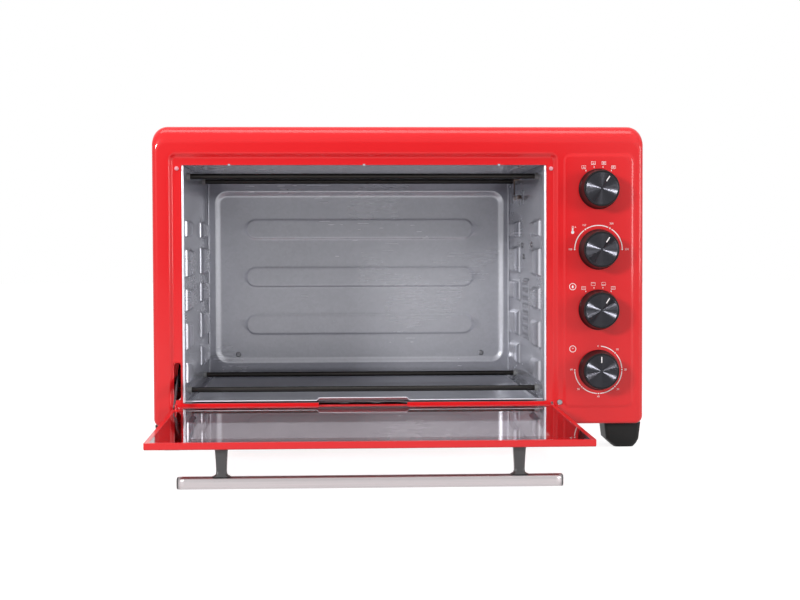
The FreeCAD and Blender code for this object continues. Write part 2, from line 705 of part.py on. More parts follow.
def handle_bar():
    """Hollow bar of the handle."""
    z = hinge[1] + bar_n
    y = hinge[0] - bar_s
    place = lambda x: lambda u, v: V(x, u, v)
    outer = rounded(y - 6.0, y + 6.0, z - 6.15, z + 6.15, 4.2, 4.2, place(bar_x[0] + 1.5))
    inner = rounded(y - 5.0, y + 5.0, z - 5.15, z + 5.15, 3.2, 3.2, place(bar_x[0] + 1.5))
    tube = Part.Face([outer, inner])
    if tube.Area > Part.Face(outer).Area:
        tube = Part.Face(outer).cut(Part.Face(inner))
    return hang(tube.extrude(V(bar_x[1] - bar_x[0] - 3.0, 0, 0)))


def handle_end_caps():
    """Plugs that close the ends of the bar."""
    z = hinge[1] + bar_n
    y = hinge[0] - bar_s
    caps = []
    for x, out in ((bar_x[0] + 1.5, -1), (bar_x[1] - 1.5, 1)):
        wires = []
        for step, inset in ((0, 0), (0.9, 0.3), (1.5, 1.3)):
            place = lambda u, v, at=x + out * step: V(at, u, v)
            r = 4.2 - inset
            wires.append(rounded(y - 6 + inset, y + 6 - inset, z - 6.15 + inset, z + 6.15 - inset, r, r, place))
        place = lambda u, v, at=x: V(at, u, v)
        stub = Part.Face(rounded(y - 4.8, y + 4.8, z - 4.95, z + 4.95, 3, 3, place)).extrude(V(-out * 8, 0, 0))
        caps.append(hang(loft(wires).fuse(stub)))
    return caps


def post_sections(low, high):
    """Heights of a post's sections with their half widths along and across the bar."""
    top = [(high, 6.9, 7.2), (high - 2.5, 6.4, 6.7), (high - 12, 5.7, 6.0)]
    return top + [(low + 6, 5.2, 5.3), (low + 2.2, 5.4, 5.2), (low + 0.8, 6.6, 5.2), (low, 9.0, 5.2)]


def handle_posts():
    """Two tapering posts between the door and the bar."""
    posts = []
    low = hinge[1] + bar_n + 6.2
    high = hinge[1] - door_half - 0.02
    y = hinge[0] - bar_s
    for x in post_x:
        wires = []
        for z, wide, deep in post_sections(low, high):
            wires.append(level(x - wide, x + wide, y - deep + 2.4, y + deep + 2.4 * (z > low + 4), 2.5, z))
        post = loft(wires)
        post = post.cut(rod(1.6, (x, y + 2.4, high - 14), (x, y + 2.4, high + 1)))
        posts.append(hang(post))
    return posts


def handle_screws():
    """Screws from inside the door into the posts."""
    y = hinge[0] - bar_s + 2.4
    z = hinge[1] - door_half
    return [hang(screw(4.0, 1.4, 1.55, (x, y, z + 2.45), (x, y, z - 12))) for x in post_x]


def hinge_pins():
    """Two pins fixed in the rolled edge of the door."""
    x0, x1 = door_middle - door_half_width, door_middle + door_half_width
    y, z = hinge
    return [hang(rod(pin_radius - 0.01, (x0 + 0.1, y, z), (x0 + 19, y, z))),
            hang(rod(pin_radius - 0.01, (x1 - 19, y, z), (x1 - 0.1, y, z)))]


def hinge_brackets():
    """Bracket behind the panel at either side, whose ear comes through a slit to the pin."""
    y, z = hinge
    brackets = []
    for x, inward in ((-265.0, 1), (180.5, -1)):
        ear = box(x, x + 1.5, y, 8.0, z - 4, z + 4).fuse(rod(4.0, (x, y, z), (x + 1.5, y, z)))
        foot_x = x if inward > 0 else x + 1.5 - 14
        foot = box(foot_x, foot_x + 14, 5.0, 6.5, z - 12, z + 5.5)
        bracket = fuse([ear, foot])
        brackets.append(bracket.cut(rod(pin_radius + 0.05, (x - 1, y, z), (x + 3, y, z))))
    return brackets


def door_bumpers():
    """Two buffers in the upper corners of the recess."""
    places = ((-261.2, 333.5), (180.0, 333.2))
    return [turned([(0, 2.0), (1.9, 2.0), (2.5, 2.5), (2.5, 3.78), (0, 3.78)], x, z) for x, z in places]


def arm_lug():
    """Lug on the inside of the door with the pivot of the hinge arm."""
    s, n = arm_pivot
    y, z = hinge[0] - s, hinge[1] + n
    h = door_half
    foot = door_box(-260.9, -256.5, s - 6, s + 6, h + 0.05, h + 0.9)
    ear = door_box(-260.9, -259.4, s - 3.4, s + 3.4, h + 0.05, n)
    ear = ear.fuse(rod(3.4, (-260.9, y, z), (-259.4, y, z)))
    pin = rod(1.5, (-263.6, y, z), (-259.9, y, z))
    return hang(fuse([foot, ear, pin]))


def pivot_point():
    """Place of the arm pivot when the door is open."""
    s, n = arm_pivot
    turn = math.radians(door_droop)
    y = hinge[0] - s * math.cos(turn) - n * math.sin(turn)
    z = hinge[1] - s * math.sin(turn) + n * math.cos(turn)
    return y, z


def hinge_arm():
    """Flat arm from the door lug through the panel slot to the spring."""
    py, pz = pivot_point()
    outline = [(-2.0, -2.5), (12, -3.2), (38, -5.0), (88, -5.0), (95, -3.6), (99, 0), (95, 4.6), (86, 5.6)]
    outline += [(38, 5.0), (12, 3.6), (-2.0, 2.5)]
    x0, x1 = arm_x
    points = [(py + a, pz + b) for a, b in outline]
    arm = plate_x(points, x0, x1).fuse(rod(2.95, (x0, py, pz), (x1, py, pz)))
    tools = [rod(1.55, (x0 - 1, py, pz), (x1 + 1, py, pz))]
    tools.append(rod(1.8, (x0 - 1, py + arm_length, pz), (x1 + 1, py + arm_length, pz)))
    arm = cut(arm, tools)
    arm.rotate(V(0, py, pz), V(1, 0, 0), arm_slope)
    return arm


def guide_roller():
    """Roller on its bracket under the arm."""
    wheel = rod(5.0, (-264.0, 22, 79.6), (-260.8, 22, 79.6))
    axle = rod(1.5, (-272.5, 22, 79.6), (-260.4, 22, 79.6))
    web = box(-273.0, -272.0, 1.0, 28, 73, 86)
    foot = box(-282.5, -272.5, 1.0, 2.0, 73, 86)
    return fuse([wheel, axle, web, foot])


def door_spring():
    """Tension spring of the door, drawn as its envelope with the two hooks."""
    y0, z = tail[0], tail[1]
    x = -262.0
    coil = rod(4.2, (x - 3.0, y0 + 12, z), (x - 3.0, spring_end - 9, z))
    hook = rod(0.7, (x - 3.0, y0 + 0.1, z), (x - 3.0, y0 + 12.5, z))
    eye = rod(0.9, (x - 3.9, y0 + 0.1, z), (x + 1.4, y0 + 0.1, z))
    far_hook = rod(0.7, (x - 3.0, spring_end - 9.5, z), (x - 3.0, spring_end, z))
    return fuse([coil, hook, eye, far_hook])


def spring_anchor():
    """Bracket on the cavity wall that holds the far hook of the spring."""
    wall = left_wall - cavity_sheet - 0.9
    plate = box(wall - 1.0, wall, spring_end - 4, spring_end + 14, 94, 116)
    arm = box(-267.5, wall - 0.5, spring_end + 0.9, spring_end + 2.4, 97, 111)
    return fuse([plate, arm])


def terminal_block():
    """Terminal block on the base pan with its four poles."""
    block = box(225, 270, 300, 322, 32.0, 50.0)
    tools = []
    for step in range(4):
        x = 230.5 + 11.2 * step
        tools.append(box(x - 3.6, x + 3.6, 304, 318, 40.0, 51.0))
    return cut(block, tools)


def cord_gland():
    """Grommet in the rear cover for the cord."""
    profile = [(3.6, gland_back), (3.6, 376), (7.2, 376), (7.9, 380), (7.9, 386.1), (10.5, 386.1), (10.5, 389.5)]
    profile += [(7.5, 391.0), (6.2, gland_back)]
    return turned(profile, 262.0, 60.0)


def wiring_loom():
    """Bundle of wires from the terminal block up past the controls."""
    points = [(252, 298, 46), (252, 80, 46), (262, 60, 80), (262, 60, 300)]
    runs = [rod(2.4, points[i], points[i + 1]) for i in range(3)]
    joints = [Part.makeSphere(2.4, V(*p)) for p in points[1:3]]
    return fuse(runs + joints)


def build():
    """Make and save every node."""
    os.makedirs("parts", exist_ok=True)
    save("front_panel", front_panel())
    save("outer_shell", outer_shell())
    save("base_pan", base_pan())
    save("back_cover", back_cover())
    save("feet", feet())
    save("foot_screws", foot_screws())
    save("case_screws", case_screws())
    save("cavity_left_wall", cavity_left_wall())
    save("cavity_right_wall", cavity_right_wall())
    save("cavity_roof", cavity_roof())
    save("cavity_floor", cavity_floor())
    save("cavity_back", cavity_back())
    save("cavity_screws", cavity_screws())
    for name in heaters:
        save(name + "_heater", heater(name))
    save("heater_ends", heater_ends())
    save("crumb_tray", crumb_tray())
    save("thermostat_bulb", thermostat_bulb())
    save("bulb_clips", bulb_clips())
    save("fan_duct", fan_duct())
    save("fan_motor", fan_motor())
    save("fan_wheel", fan_wheel())
    for name, z in knob_z.items():
        save(name + "_knob", knob(z))
        save(name + "_knob_cap", knob_cap(z))
        save(name + "_knob_shaft", knob_shaft(z))
    save("control_bracket", control_bracket())
    save("function_switch", rotary_switch(knob_z["function"]))
    save("heat_switch", rotary_switch(knob_z["heat"]))
    save("thermostat", thermostat())
    save("timer_unit", timer_unit())
    save("door_frame", door_frame())
    save("door_glass", door_glass())
    save("handle_bar", handle_bar())
    save("handle_end_caps", handle_end_caps())
    save("handle_posts", handle_posts())
    save("handle_screws", handle_screws())
    save("hinge_pins", hinge_pins())
    save("hinge_brackets", hinge_brackets())
    save("door_bumpers", door_bumpers())
    save("arm_lug", arm_lug())
    save("hinge_arm", hinge_arm())
    save("guide_roller", guide_roller())
    save("door_spring", door_spring())
    save("spring_anchor", spring_anchor())
    save("terminal_block", terminal_block())
    save("cord_gland", cord_gland())
    save("wiring_loom", wiring_loom())


build()
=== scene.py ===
import json
import math

import bmesh
import bpy
import numpy as np
from mathutils import Matrix, Vector

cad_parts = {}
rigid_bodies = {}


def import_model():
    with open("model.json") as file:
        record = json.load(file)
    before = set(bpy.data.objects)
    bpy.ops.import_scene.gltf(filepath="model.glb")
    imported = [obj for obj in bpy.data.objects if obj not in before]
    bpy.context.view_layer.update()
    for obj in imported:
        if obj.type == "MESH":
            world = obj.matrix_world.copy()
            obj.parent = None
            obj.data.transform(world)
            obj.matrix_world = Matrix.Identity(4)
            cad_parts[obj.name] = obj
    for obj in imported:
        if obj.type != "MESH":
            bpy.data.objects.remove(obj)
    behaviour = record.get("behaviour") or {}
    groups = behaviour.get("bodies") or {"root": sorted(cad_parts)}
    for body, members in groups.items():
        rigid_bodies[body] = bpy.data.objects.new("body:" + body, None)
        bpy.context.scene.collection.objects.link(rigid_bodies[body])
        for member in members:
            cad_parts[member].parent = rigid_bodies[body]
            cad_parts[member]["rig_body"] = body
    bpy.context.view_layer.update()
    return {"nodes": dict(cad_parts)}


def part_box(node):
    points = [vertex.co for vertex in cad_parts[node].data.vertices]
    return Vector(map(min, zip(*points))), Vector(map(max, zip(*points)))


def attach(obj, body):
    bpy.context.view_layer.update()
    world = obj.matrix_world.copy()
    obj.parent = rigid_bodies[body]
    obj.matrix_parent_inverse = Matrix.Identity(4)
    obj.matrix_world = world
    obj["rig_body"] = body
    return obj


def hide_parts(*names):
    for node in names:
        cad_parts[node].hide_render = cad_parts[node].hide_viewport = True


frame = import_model()

# Lengths are millimetres in the drawing frame of the part: X = 0 in the middle of the body,
# Y = 0 on the flat face of the front panel, Z = 0 on the table. place() gives metres.
PLATEAU_HEIGHT = 1.0
FRONT = 1000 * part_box("front_panel")[0][1] + PLATEAU_HEIGHT
HALF_WIDTH = 290.0
BODY_LOW = 30.0
BODY_HIGH = 383.0
TOP_BEVEL = 20.5
TOP_BEVEL_DEPTH = 14.0
SIDE_BEVEL = 6.3
LOW_BEVEL = 3.0
SKIRT = 20.0
SHEET = 0.9
RECESS = (-266.25, 183.25, 39.0, 346.9)
RECESS_FLOOR = 3.8
OPENING = (-255.5, 173.2, 57.0, 337.4)
NOTCH = (-96.0, 8.8, 53.0)
PLATEAU = (195.0, 277.0, 50.0, 349.5)
ARM_SLOT = (-265.9, -258.0, 61.4, 105.1)
HINGE_SLITS = ((-265.5, -263.0), (180.0, 182.5))
SLIT_HEIGHT = (43.5, 56.2)
KNOB_X = 236.0
KNOB_Z = {"function": 308.8, "temperature": 237.3, "heat": 165.8, "timer": 94.3}
KNOB_FRONT = -24.0
SHAFT_HOLE = 5.2
LEFT_WALL = -254.5
RIGHT_WALL = 172.0
ROOF = 338.0
CAVITY_DEPTH = 366.0
WALL_SHEET = 0.8
FRONT_RACK = (38.0, 105.0)
FRONT_RACK_Z = ((80.6, 100.2), (120.9, 147.6), (167.3, 188.1), (208.2, 235.9), (256.2, 270.3))
REAR_RACK = (238.0, 320.0)
REAR_RACK_Z = ((87.0, 108.0), (124.5, 152.5), (172.1, 192.5), (209.0, 238.5), (256.4, 272.6))
RACK_REACH = 7.0
RACK_SLOPE = 11.0
RACK_FRONT = 26.0
HINGE = (-1.95, 50.5)
DROOP = 1.1
DOOR_HALF = 3.6
DOOR_REACH = 296.5
DOOR_X = (-265.25, 182.25)
BAR_X = (-234.0, 150.5)
BAR_S = 284.0
BAR_N = -38.05
POST_X = (-190.0, 107.0)


def place(x, y, z):
    """Points in metres in the row frame from millimetres in the drawing frame."""
    x, y, z = np.broadcast_arrays(x, y, z)
    return np.stack([x, y + FRONT, z], axis=-1) / 1000.0


# Shader values


class Value:
    """Socket of a shader tree whose arithmetic adds Math nodes."""

    def __init__(self, tree, socket):
        self.tree = tree
        self.socket = socket

    def math(self, operation, *values):
        node = self.tree.nodes.new("ShaderNodeMath")
        node.operation = operation
        for index, value in enumerate(values):
            if isinstance(value, Value):
                self.tree.links.new(value.socket, node.inputs[index])
            else:
                node.inputs[index].default_value = value
        return Value(self.tree, node.outputs[0])

    def __add__(self, other):
        return self.math("ADD", self, other)

    def __radd__(self, other):
        return self.math("ADD", other, self)

    def __sub__(self, other):
        return self.math("SUBTRACT", self, other)

    def __rsub__(self, other):
        return self.math("SUBTRACT", other, self)

    def __mul__(self, other):
        return self.math("MULTIPLY", self, other)

    def __rmul__(self, other):
        return self.math("MULTIPLY", other, self)

    def __truediv__(self, other):
        return self.math("DIVIDE", self, other)

    def __pow__(self, other):
        return self.math("POWER", self, other)

    def __gt__(self, other):
        return self.math("GREATER_THAN", self, other)

    def __lt__(self, other):
        return self.math("LESS_THAN", self, other)

    def sine(self):
        return self.math("SINE", self)

    def clamp(self):
        return self.math("MINIMUM", self.math("MAXIMUM", self, 0.0), 1.0)


class Finish:
    """Material under construction."""

    def __init__(self, name):
        self.material = bpy.data.materials.new(name)
        self.material.use_nodes = True
        self.tree = self.material.node_tree
        self.tree.nodes.clear()
        self.output = self.tree.nodes.new("ShaderNodeOutputMaterial")

    def node(self, kind, settings=None, **sockets):
        """Adds a node: settings first, then the values or links of its sockets."""
        node = self.tree.nodes.new(kind)
        for key, value in (settings or {}).items():
            if key == "stops":
                fill_ramp(node.color_ramp, value)
            else:
                setattr(node, key, value)
        for key, value in sockets.items():
            socket = node.inputs[key.replace("_", " ")]
            if isinstance(value, Value):
                self.tree.links.new(value.socket, socket)
            else:
                socket.default_value = value
        return node

    def value(self, node, output=0):
        return Value(self.tree, node.outputs[output])

    def position(self, scale=(1, 1, 1)):
        """Object coordinates, stretched by the scale."""
        source = self.value(self.node("ShaderNodeTexCoord"), "Object")
        return self.value(self.node("ShaderNodeMapping", Vector=source, Scale=scale))

    def axes(self, vector):
        """The three numbers of a vector."""
        node = self.node("ShaderNodeSeparateXYZ", Vector=vector)
        return [self.value(node, index) for index in range(3)]

    def noise(self, vector, scale, detail=3.0, roughness=0.5):
        node = self.node("ShaderNodeTexNoise", Vector=vector, Scale=scale, Detail=detail, Roughness=roughness)
        return self.value(node, "Fac")

    def cells(self, vector, scale, output="Color"):
        return self.value(self.node("ShaderNodeTexVoronoi", Vector=vector, Scale=scale), output)

    def ramp(self, factor, stops):
        return self.value(self.node("ShaderNodeValToRGB", {"stops": stops}, Fac=factor))

    def blend(self, factor, first, second):
        """Colour between two colours by a factor."""
        node = self.tree.nodes.new("ShaderNodeMix")
        node.data_type = "RGBA"
        for index, value in ((0, factor), (6, first), (7, second)):
            if isinstance(value, Value):
                self.tree.links.new(value.socket, node.inputs[index])
            else:
                node.inputs[index].default_value = value
        return Value(self.tree, node.outputs[2])

    def bump(self, height, strength, distance):
        node = self.node("ShaderNodeBump", Height=height, Strength=strength, Distance=distance)
        return self.value(node)

    def coat(self, **sockets):
        """Principled shader to the output. Underscores in the names stand for spaces."""
        shader = self.node("ShaderNodeBsdfPrincipled", **sockets)
        self.tree.links.new(shader.outputs[0], self.output.inputs["Surface"])
        return self.material


def fill_ramp(ramp, stops):
    """Sets the stops of a colour ramp."""
    while len(ramp.elements) > len(stops):
        ramp.elements.remove(ramp.elements[-1])
    while len(ramp.elements) < len(stops):
        ramp.elements.new(1.0)
    for element, (position, colour) in zip(ramp.elements, stops):
        element.position = position
        element.color = colour


def grey(level, alpha=1.0):
    return (level, level, level, alpha)


def red_enamel():
    """Gloss enamel with the faint flow of a sprayed coat."""
    finish = Finish("red_enamel")
    flow = finish.noise(finish.position(), 90.0, 2.0)
    haze = finish.noise(finish.position(), 9.0, 3.0)
    colour = finish.blend(haze, (0.70, 0.009, 0.013, 1), (0.74, 0.012, 0.016, 1))
    return finish.coat(
        Base_Color=colour, Roughness=0.32 + 0.06 * haze, Specular_IOR_Level=0.12, Coat_Weight=0.6, Coat_Roughness=0.10,
        Normal=finish.bump(flow, 0.05, 0.0006))


def galvanised_steel(name, level, roughness, scale=260.0, metallic=1.0, heat=0.0):
    """Aluminised sheet: faint spangle, rolling marks and smudges; the heat setting paints light, brighter towards the
    front of the cavity where light comes in.
    """
    finish = Finish(name)
    spangle = finish.axes(finish.cells(finish.position(), scale))[0]
    smudge = finish.noise(finish.position(), 14.0, 4.0)
    rolling = finish.noise(finish.position((1, 1, 22)), 16.0, 2.0)
    shade = 0.88 + 0.06 * spangle + 0.10 * smudge
    # painted light: with heat set, the sheet is made brighter towards the front of the cavity, where light comes in
    # through the opening
    if heat:
        depth = (finish.axes(finish.position())[1] * 3.4 + 0.17).clamp()
        shade = shade * (1.0 + heat * (1.0 - depth) ** 2.0)
    tone = finish.node("ShaderNodeCombineColor", Red=level * shade, Green=level * 1.01 * shade, Blue=level * 1.10 * shade)
    return finish.coat(
        Base_Color=finish.value(tone), Metallic=metallic, Roughness=roughness - 0.05 + 0.08 * smudge + 0.04 * rolling,
        Normal=finish.bump(smudge + 0.1 * spangle, 0.03, 0.0002))


def brushed_steel(name, colour, along, roughness=0.3):
    """Steel brushed along one axis: noise stretched in that direction."""
    finish = Finish(name)
    stretch = {"x": (3, 500, 500), "y": (500, 3, 500), "z": (500, 500, 3)}[along]
    hair = finish.noise(finish.position(stretch), 3.0, 3.0, 0.7)
    darker = tuple(c * 0.86 for c in colour) + (1,)
    tone = finish.ramp(hair, ((0.25, darker), (0.75, tuple(colour) + (1,))))
    return finish.coat(
        Base_Color=tone, Metallic=1.0, Roughness=roughness - 0.06 + 0.12 * hair,
        Normal=finish.bump(hair, 0.15, 0.0002))


def moulded(name, colour, roughness, grain=900.0, depth=0.15, shine=0.5):
    """Moulded plastic or rubber with a fine grain."""
    finish = Finish(name)
    fine = finish.noise(finish.position(), grain, 2.0)
    wear = finish.noise(finish.position(), 30.0, 3.0)
    lighter = tuple(min(1.0, c * 1.25 + 0.004) for c in colour) + (1,)
    tone = finish.blend(wear, tuple(colour) + (1,), lighter)
    return finish.coat(
        Base_Color=tone, Roughness=roughness - 0.04 + 0.08 * wear, Specular_IOR_Level=shine,
        Normal=finish.bump(fine, depth, 0.0002))


def plain_metal(name, colour, roughness, grain=400.0):
    """Zinc, brass or iron with a slight grain."""
    finish = Finish(name)
    fine = finish.noise(finish.position(), grain, 3.0)
    darker = tuple(c * 0.8 for c in colour) + (1,)
    tone = finish.blend(fine, darker, tuple(colour) + (1,))
    return finish.coat(
        Base_Color=tone, Metallic=1.0, Roughness=roughness - 0.05 + 0.1 * fine,
        Normal=finish.bump(fine, 0.1, 0.0002))


def door_pane():
    """Tempered pane: dark grey tint with a pink cast painted in for the reflection of the red enamel, and a
    mirror-like face.
    """
    finish = Finish("grey_glass_painted_pink_reflection")
    film = finish.noise(finish.position(), 12.0, 3.0)
    return finish.coat(
        # the pink lean of the base colour is painted reflection of the red enamel
        Base_Color=(0.50, 0.42, 0.45, 1), Roughness=0.01 + 0.02 * film, Transmission_Weight=1.0, IOR=1.52)


def white_print():
    """Screen print on the enamel."""
    finish = Finish("white_print")
    edge = finish.noise(finish.position(), 700.0, 2.0)
    tone = finish.blend(edge, (0.86, 0.80, 0.80, 1), (0.95, 0.92, 0.92, 1))
    return finish.coat(Base_Color=tone, Roughness=0.45)


def spun_disc():
    """Dark anodised disc. The grooves that spread its highlight are in the mesh."""
    finish = Finish("spun_disc")
    streak = finish.noise(finish.position((1, 1, 1)), 800.0, 2.0)
    tone = finish.blend(streak, (0.027, 0.027, 0.032, 1), (0.038, 0.038, 0.045, 1))
    return finish.coat(Base_Color=tone, Metallic=0.9, Roughness=0.16 + 0.05 * streak)


RED = red_enamel()
# heat=0.1 here is painted light: the cavity sheet brightens towards the opening
CAVITY = galvanised_steel("cavity_sheet", 0.52, 0.25, metallic=0.55, heat=0.1)
# painted highlight: the folded front edges of the walls get a lighter copy of the cavity sheet
HEM_HIGHLIGHT = galvanised_steel("hem_sheet_painted_highlight", 0.72, 0.30)
PAN = galvanised_steel("plated_sheet", 0.50, 0.40)
TRAY = galvanised_steel("tray_sheet", 0.50, 0.30, metallic=0.9)
# painted highlight: the tray's front lip gets a lighter, less metallic copy of the tray sheet
LIP_HIGHLIGHT = galvanised_steel("tray_lip_painted_highlight", 0.70, 0.42, metallic=0.3)
ARM = plain_metal("arm_steel", (0.10, 0.10, 0.11), 0.4)
# the pink lean of the handle steel colour is painted reflection of the red enamel
BAR = brushed_steel("handle_steel_painted_pink_reflection", (0.54, 0.50, 0.51), "x", 0.34)
POST = moulded("dark_post", (0.045, 0.043, 0.045), 0.35)
BLACK = moulded("black_plastic", (0.008, 0.008, 0.008), 0.5, shine=0.2)
KNOB = moulded("knob_plastic", (0.006, 0.005, 0.006), 0.40, shine=0.22)
PHENOLIC = moulded("phenolic", (0.09, 0.045, 0.025), 0.5)
# painted reflection: the bumpers' pink stands for red enamel light on white silicone
RUBBER = moulded("silicone", (0.62, 0.25, 0.30), 0.4)
GROMMET = moulded("grommet", (0.02, 0.02, 0.02), 0.6)
SLEEVE = moulded("wire_sleeve", (0.62, 0.60, 0.55), 0.7, 1500.0, 0.4)
CERAMIC = moulded("ceramic", (0.62, 0.60, 0.56), 0.55)
# darker ceramic for the heater ends
DARK_CERAMIC = moulded("dark_ceramic", (0.20, 0.20, 0.20), 0.5)
HEATER = plain_metal("heater_sheath", (0.045, 0.042, 0.040), 0.42)
ZINC = plain_metal("zinc", (0.52, 0.52, 0.54), 0.34)
SCREW = plain_metal("dull_zinc", (0.34, 0.34, 0.36), 0.42)
COPPER = plain_metal("copper", (0.46, 0.35, 0.29), 0.35)
IRON = plain_metal("motor_iron", (0.16, 0.16, 0.17), 0.5)
GLASS = door_pane()
PRINT = white_print()
DISC = spun_disc()


# Meshes


def finish_piece(name, mesh, material, body, *nodes):
    """Links a mesh as a piece that rides on a body and stands for the nodes."""
    piece = bpy.data.objects.new(name, mesh)
    bpy.context.scene.collection.objects.link(piece)
    mesh.materials.append(material)
    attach(piece, body)
    if nodes:
        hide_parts(*nodes)
    return piece


def mesh_of(name, points, faces, smooth=True):
    """Mesh from an array of points and a list of face index arrays."""
    mesh = bpy.data.meshes.new(name)
    mesh.from_pydata(points.tolist(), [], [row for block in faces for row in block.tolist()])
    mesh.validate()
    mesh.polygons.foreach_set("use_smooth", np.full(len(mesh.polygons), smooth))
    mesh.update()
    return mesh


def grid_faces(rows, columns, start=0, wrap=False):
    """Quads of a grid of points stored row by row; wrap joins the last column to the first."""
    index = np.arange(rows * columns).reshape(rows, columns) + start
    if wrap:
        index = np.concatenate([index, index[:, :1]], axis=1)
    return np.stack([index[:-1, :-1], index[:-1, 1:], index[1:, 1:], index[1:, :-1]], axis=-1).reshape(-1, 4)


def clean(mesh, distance=1e-6, outward=True, angle=None):
    """Merges doubles, drops flat faces, and turns normals outwards."""
    work = bmesh.new()
    work.from_mesh(mesh)
    bmesh.ops.remove_doubles(work, verts=work.verts, dist=distance)
    bmesh.ops.dissolve_degenerate(work, dist=distance, edges=work.edges)
    if outward:
        bmesh.ops.recalc_face_normals(work, faces=work.faces)
    work.to_mesh(mesh)
    work.free()
    if angle is not None:
        mesh.set_sharp_from_angle(angle=math.radians(angle))
    return mesh


def skin(node, material, angle=32, bevel=0.0, segments=2):
    """Smooth-shaded copy of a CAD node that stands for it, with softened edges where asked."""
    source = frame["nodes"][node]
    mesh = source.data.copy()
    mesh.materials.clear()
    clean(mesh, 2e-6, False)
    mesh.polygons.foreach_set("use_smooth", np.ones(len(mesh.polygons), dtype=bool))
    mesh.set_sharp_from_angle(angle=math.radians(angle))
    piece = finish_piece(node + "_skin", mesh, material, source["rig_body"], node)
    if bevel:
        edge = piece.modifiers.new("edge", "BEVEL")
        edge.width = bevel / 1000
        edge.segments = segments
        edge.limit_method = "ANGLE"
        edge.angle_limit = math.radians(40)
        edge.harden_normals = True
    else:
        piece.modifiers.new("flat_faces", "WEIGHTED_NORMAL").keep_sharp = True
    return piece


def lathe(profile, x, z, count=96):
    """Surface turned about a line along Y: (radius, y) points carried round the circle."""
    profile = np.array(profile)
    turn = np.linspace(0, 2 * np.pi, count, endpoint=False)
    radius = profile[:, :1]
    points = place(x + radius * np.cos(turn), profile[:, 1:] + 0 * turn, z + radius * np.sin(turn))
    return points.reshape(-1, 3), [grid_faces(len(profile), count, wrap=True)]


def ramp_up(distance, width, softness=0.2):
    """Rises from 0 to 1 over the width with both ends rounded: a difference of two soft hinges."""
    def hinge(t):
        return 0.5 * (t + np.sqrt(t * t + softness * softness))
    t = distance / width
    return hinge(t) - hinge(t - 1)


def depth_inside(x, z, limits, radius):
    """Distance inside a rounded rectangle, negative outside."""
    x0, x1, z0, z1 = limits
    dx = np.abs(x - (x0 + x1) / 2) - (x1 - x0) / 2 + radius
    dz = np.abs(z - (z0 + z1) / 2) - (z1 - z0) / 2 + radius
    corner = np.hypot(np.maximum(dx, 0), np.maximum(dz, 0))
    return radius - corner - np.minimum(np.maximum(dx, dz), 0)


def grown(limits, by):
    x0, x1, z0, z1 = limits
    return (x0 - by, x1 + by, z0 - by, z1 + by)


def lines(low, high, pitch, features, reach=5.0, fine=0.7):
    """Grid positions: an even pitch, with fine ones around the features and the exact features."""
    values = [np.linspace(low, high, int((high - low) / pitch) + 2)]
    exact = np.array([f for f in features if low < f < high])
    for feature in exact:
        values.append(np.arange(feature - reach, feature + reach, fine))
    values = np.concatenate(values)
    values = values[(values > low) & (values < high)]
    if len(exact):
        gap = np.abs(values[:, None] - exact[None, :]).min(axis=1)
        values = values[gap > 0.3]
    values = np.unique(np.round(np.concatenate([values, exact]), 3))
    keep = np.ones(len(values), dtype=bool)
    last = low
    for index, value in enumerate(values):
        if value - last < 0.25 and value not in exact:
            keep[index] = False
        else:
            last = value
    return np.concatenate([[low], values[keep], [high]])


# Front panel


def panel_depth(x, z):
    """Depth of the panel's face: the door recess goes in and the plateau comes out."""
    recess = RECESS_FLOOR * ramp_up(depth_inside(x, z, grown(RECESS, 3.8), 7.8), 3.8)
    plateau = PLATEAU_HEIGHT * ramp_up(depth_inside(x, z, grown(PLATEAU, 0.6), 8.5), 2.2, 0.4)
    return recess - plateau


def loop(x0, x1, z0, z1, low_r, top_r, along_x, along_z, corner=10):
    """Closed outline: four sides at given fractions joined by round corners."""
    def arc(cx, cz, radius, start):
        turn = np.radians(np.linspace(start, start + 90, corner + 2)[1:-1])
        return np.stack([cx + radius * np.cos(turn), cz + radius * np.sin(turn)], axis=-1)

    def side(a, b, parts):
        return np.array(a) + (np.array(b) - np.array(a)) * parts[:, None]

    parts = [
        side((x0 + low_r, z0), (x1 - low_r, z0), along_x), arc(x1 - low_r, z0 + low_r, low_r, 270),
        side((x1, z0 + low_r), (x1, z1 - top_r), along_z), arc(x1 - top_r, z1 - top_r, top_r, 0),
        side((x1 - top_r, z1), (x0 + top_r, z1), 1 - along_x[::-1]), arc(x0 + top_r, z1 - top_r, top_r, 90),
        side((x0, z1 - top_r), (x0, z0 + low_r), 1 - along_z[::-1]), arc(x0 + low_r, z0 + low_r, low_r, 180),
    ]
    return np.concatenate(parts)


def quarter(y, depth):
    """Share of a quarter ellipse reached at a depth."""
    left = np.maximum(0.0, 1.0 - y / depth)
    return np.sqrt(1.0 - left * left)


def body_outline(y, along_x, along_z):
    """Outline of the body at depth y, shrunk by the bevels."""
    top, side, low = quarter(y, TOP_BEVEL_DEPTH), quarter(y, SIDE_BEVEL), quarter(y, LOW_BEVEL)
    half = HALF_WIDTH - SIDE_BEVEL * (1 - side)
    z0 = BODY_LOW + LOW_BEVEL * (1 - low)
    z1 = BODY_HIGH - TOP_BEVEL * (1 - top)
    return loop(-half, half, z0, z1, 5 + 4 * side, 11 + 7 * side, along_x, along_z)


def ring_patch(outline, rectangle_side):
    """Band from a closed outline out to the square round it, both with as many points."""
    centre = outline.mean(axis=0)
    offset = outline - centre
    reach = np.abs(offset).max(axis=1, keepdims=True)
    square = centre + offset / reach * rectangle_side
    return np.stack([square, outline])


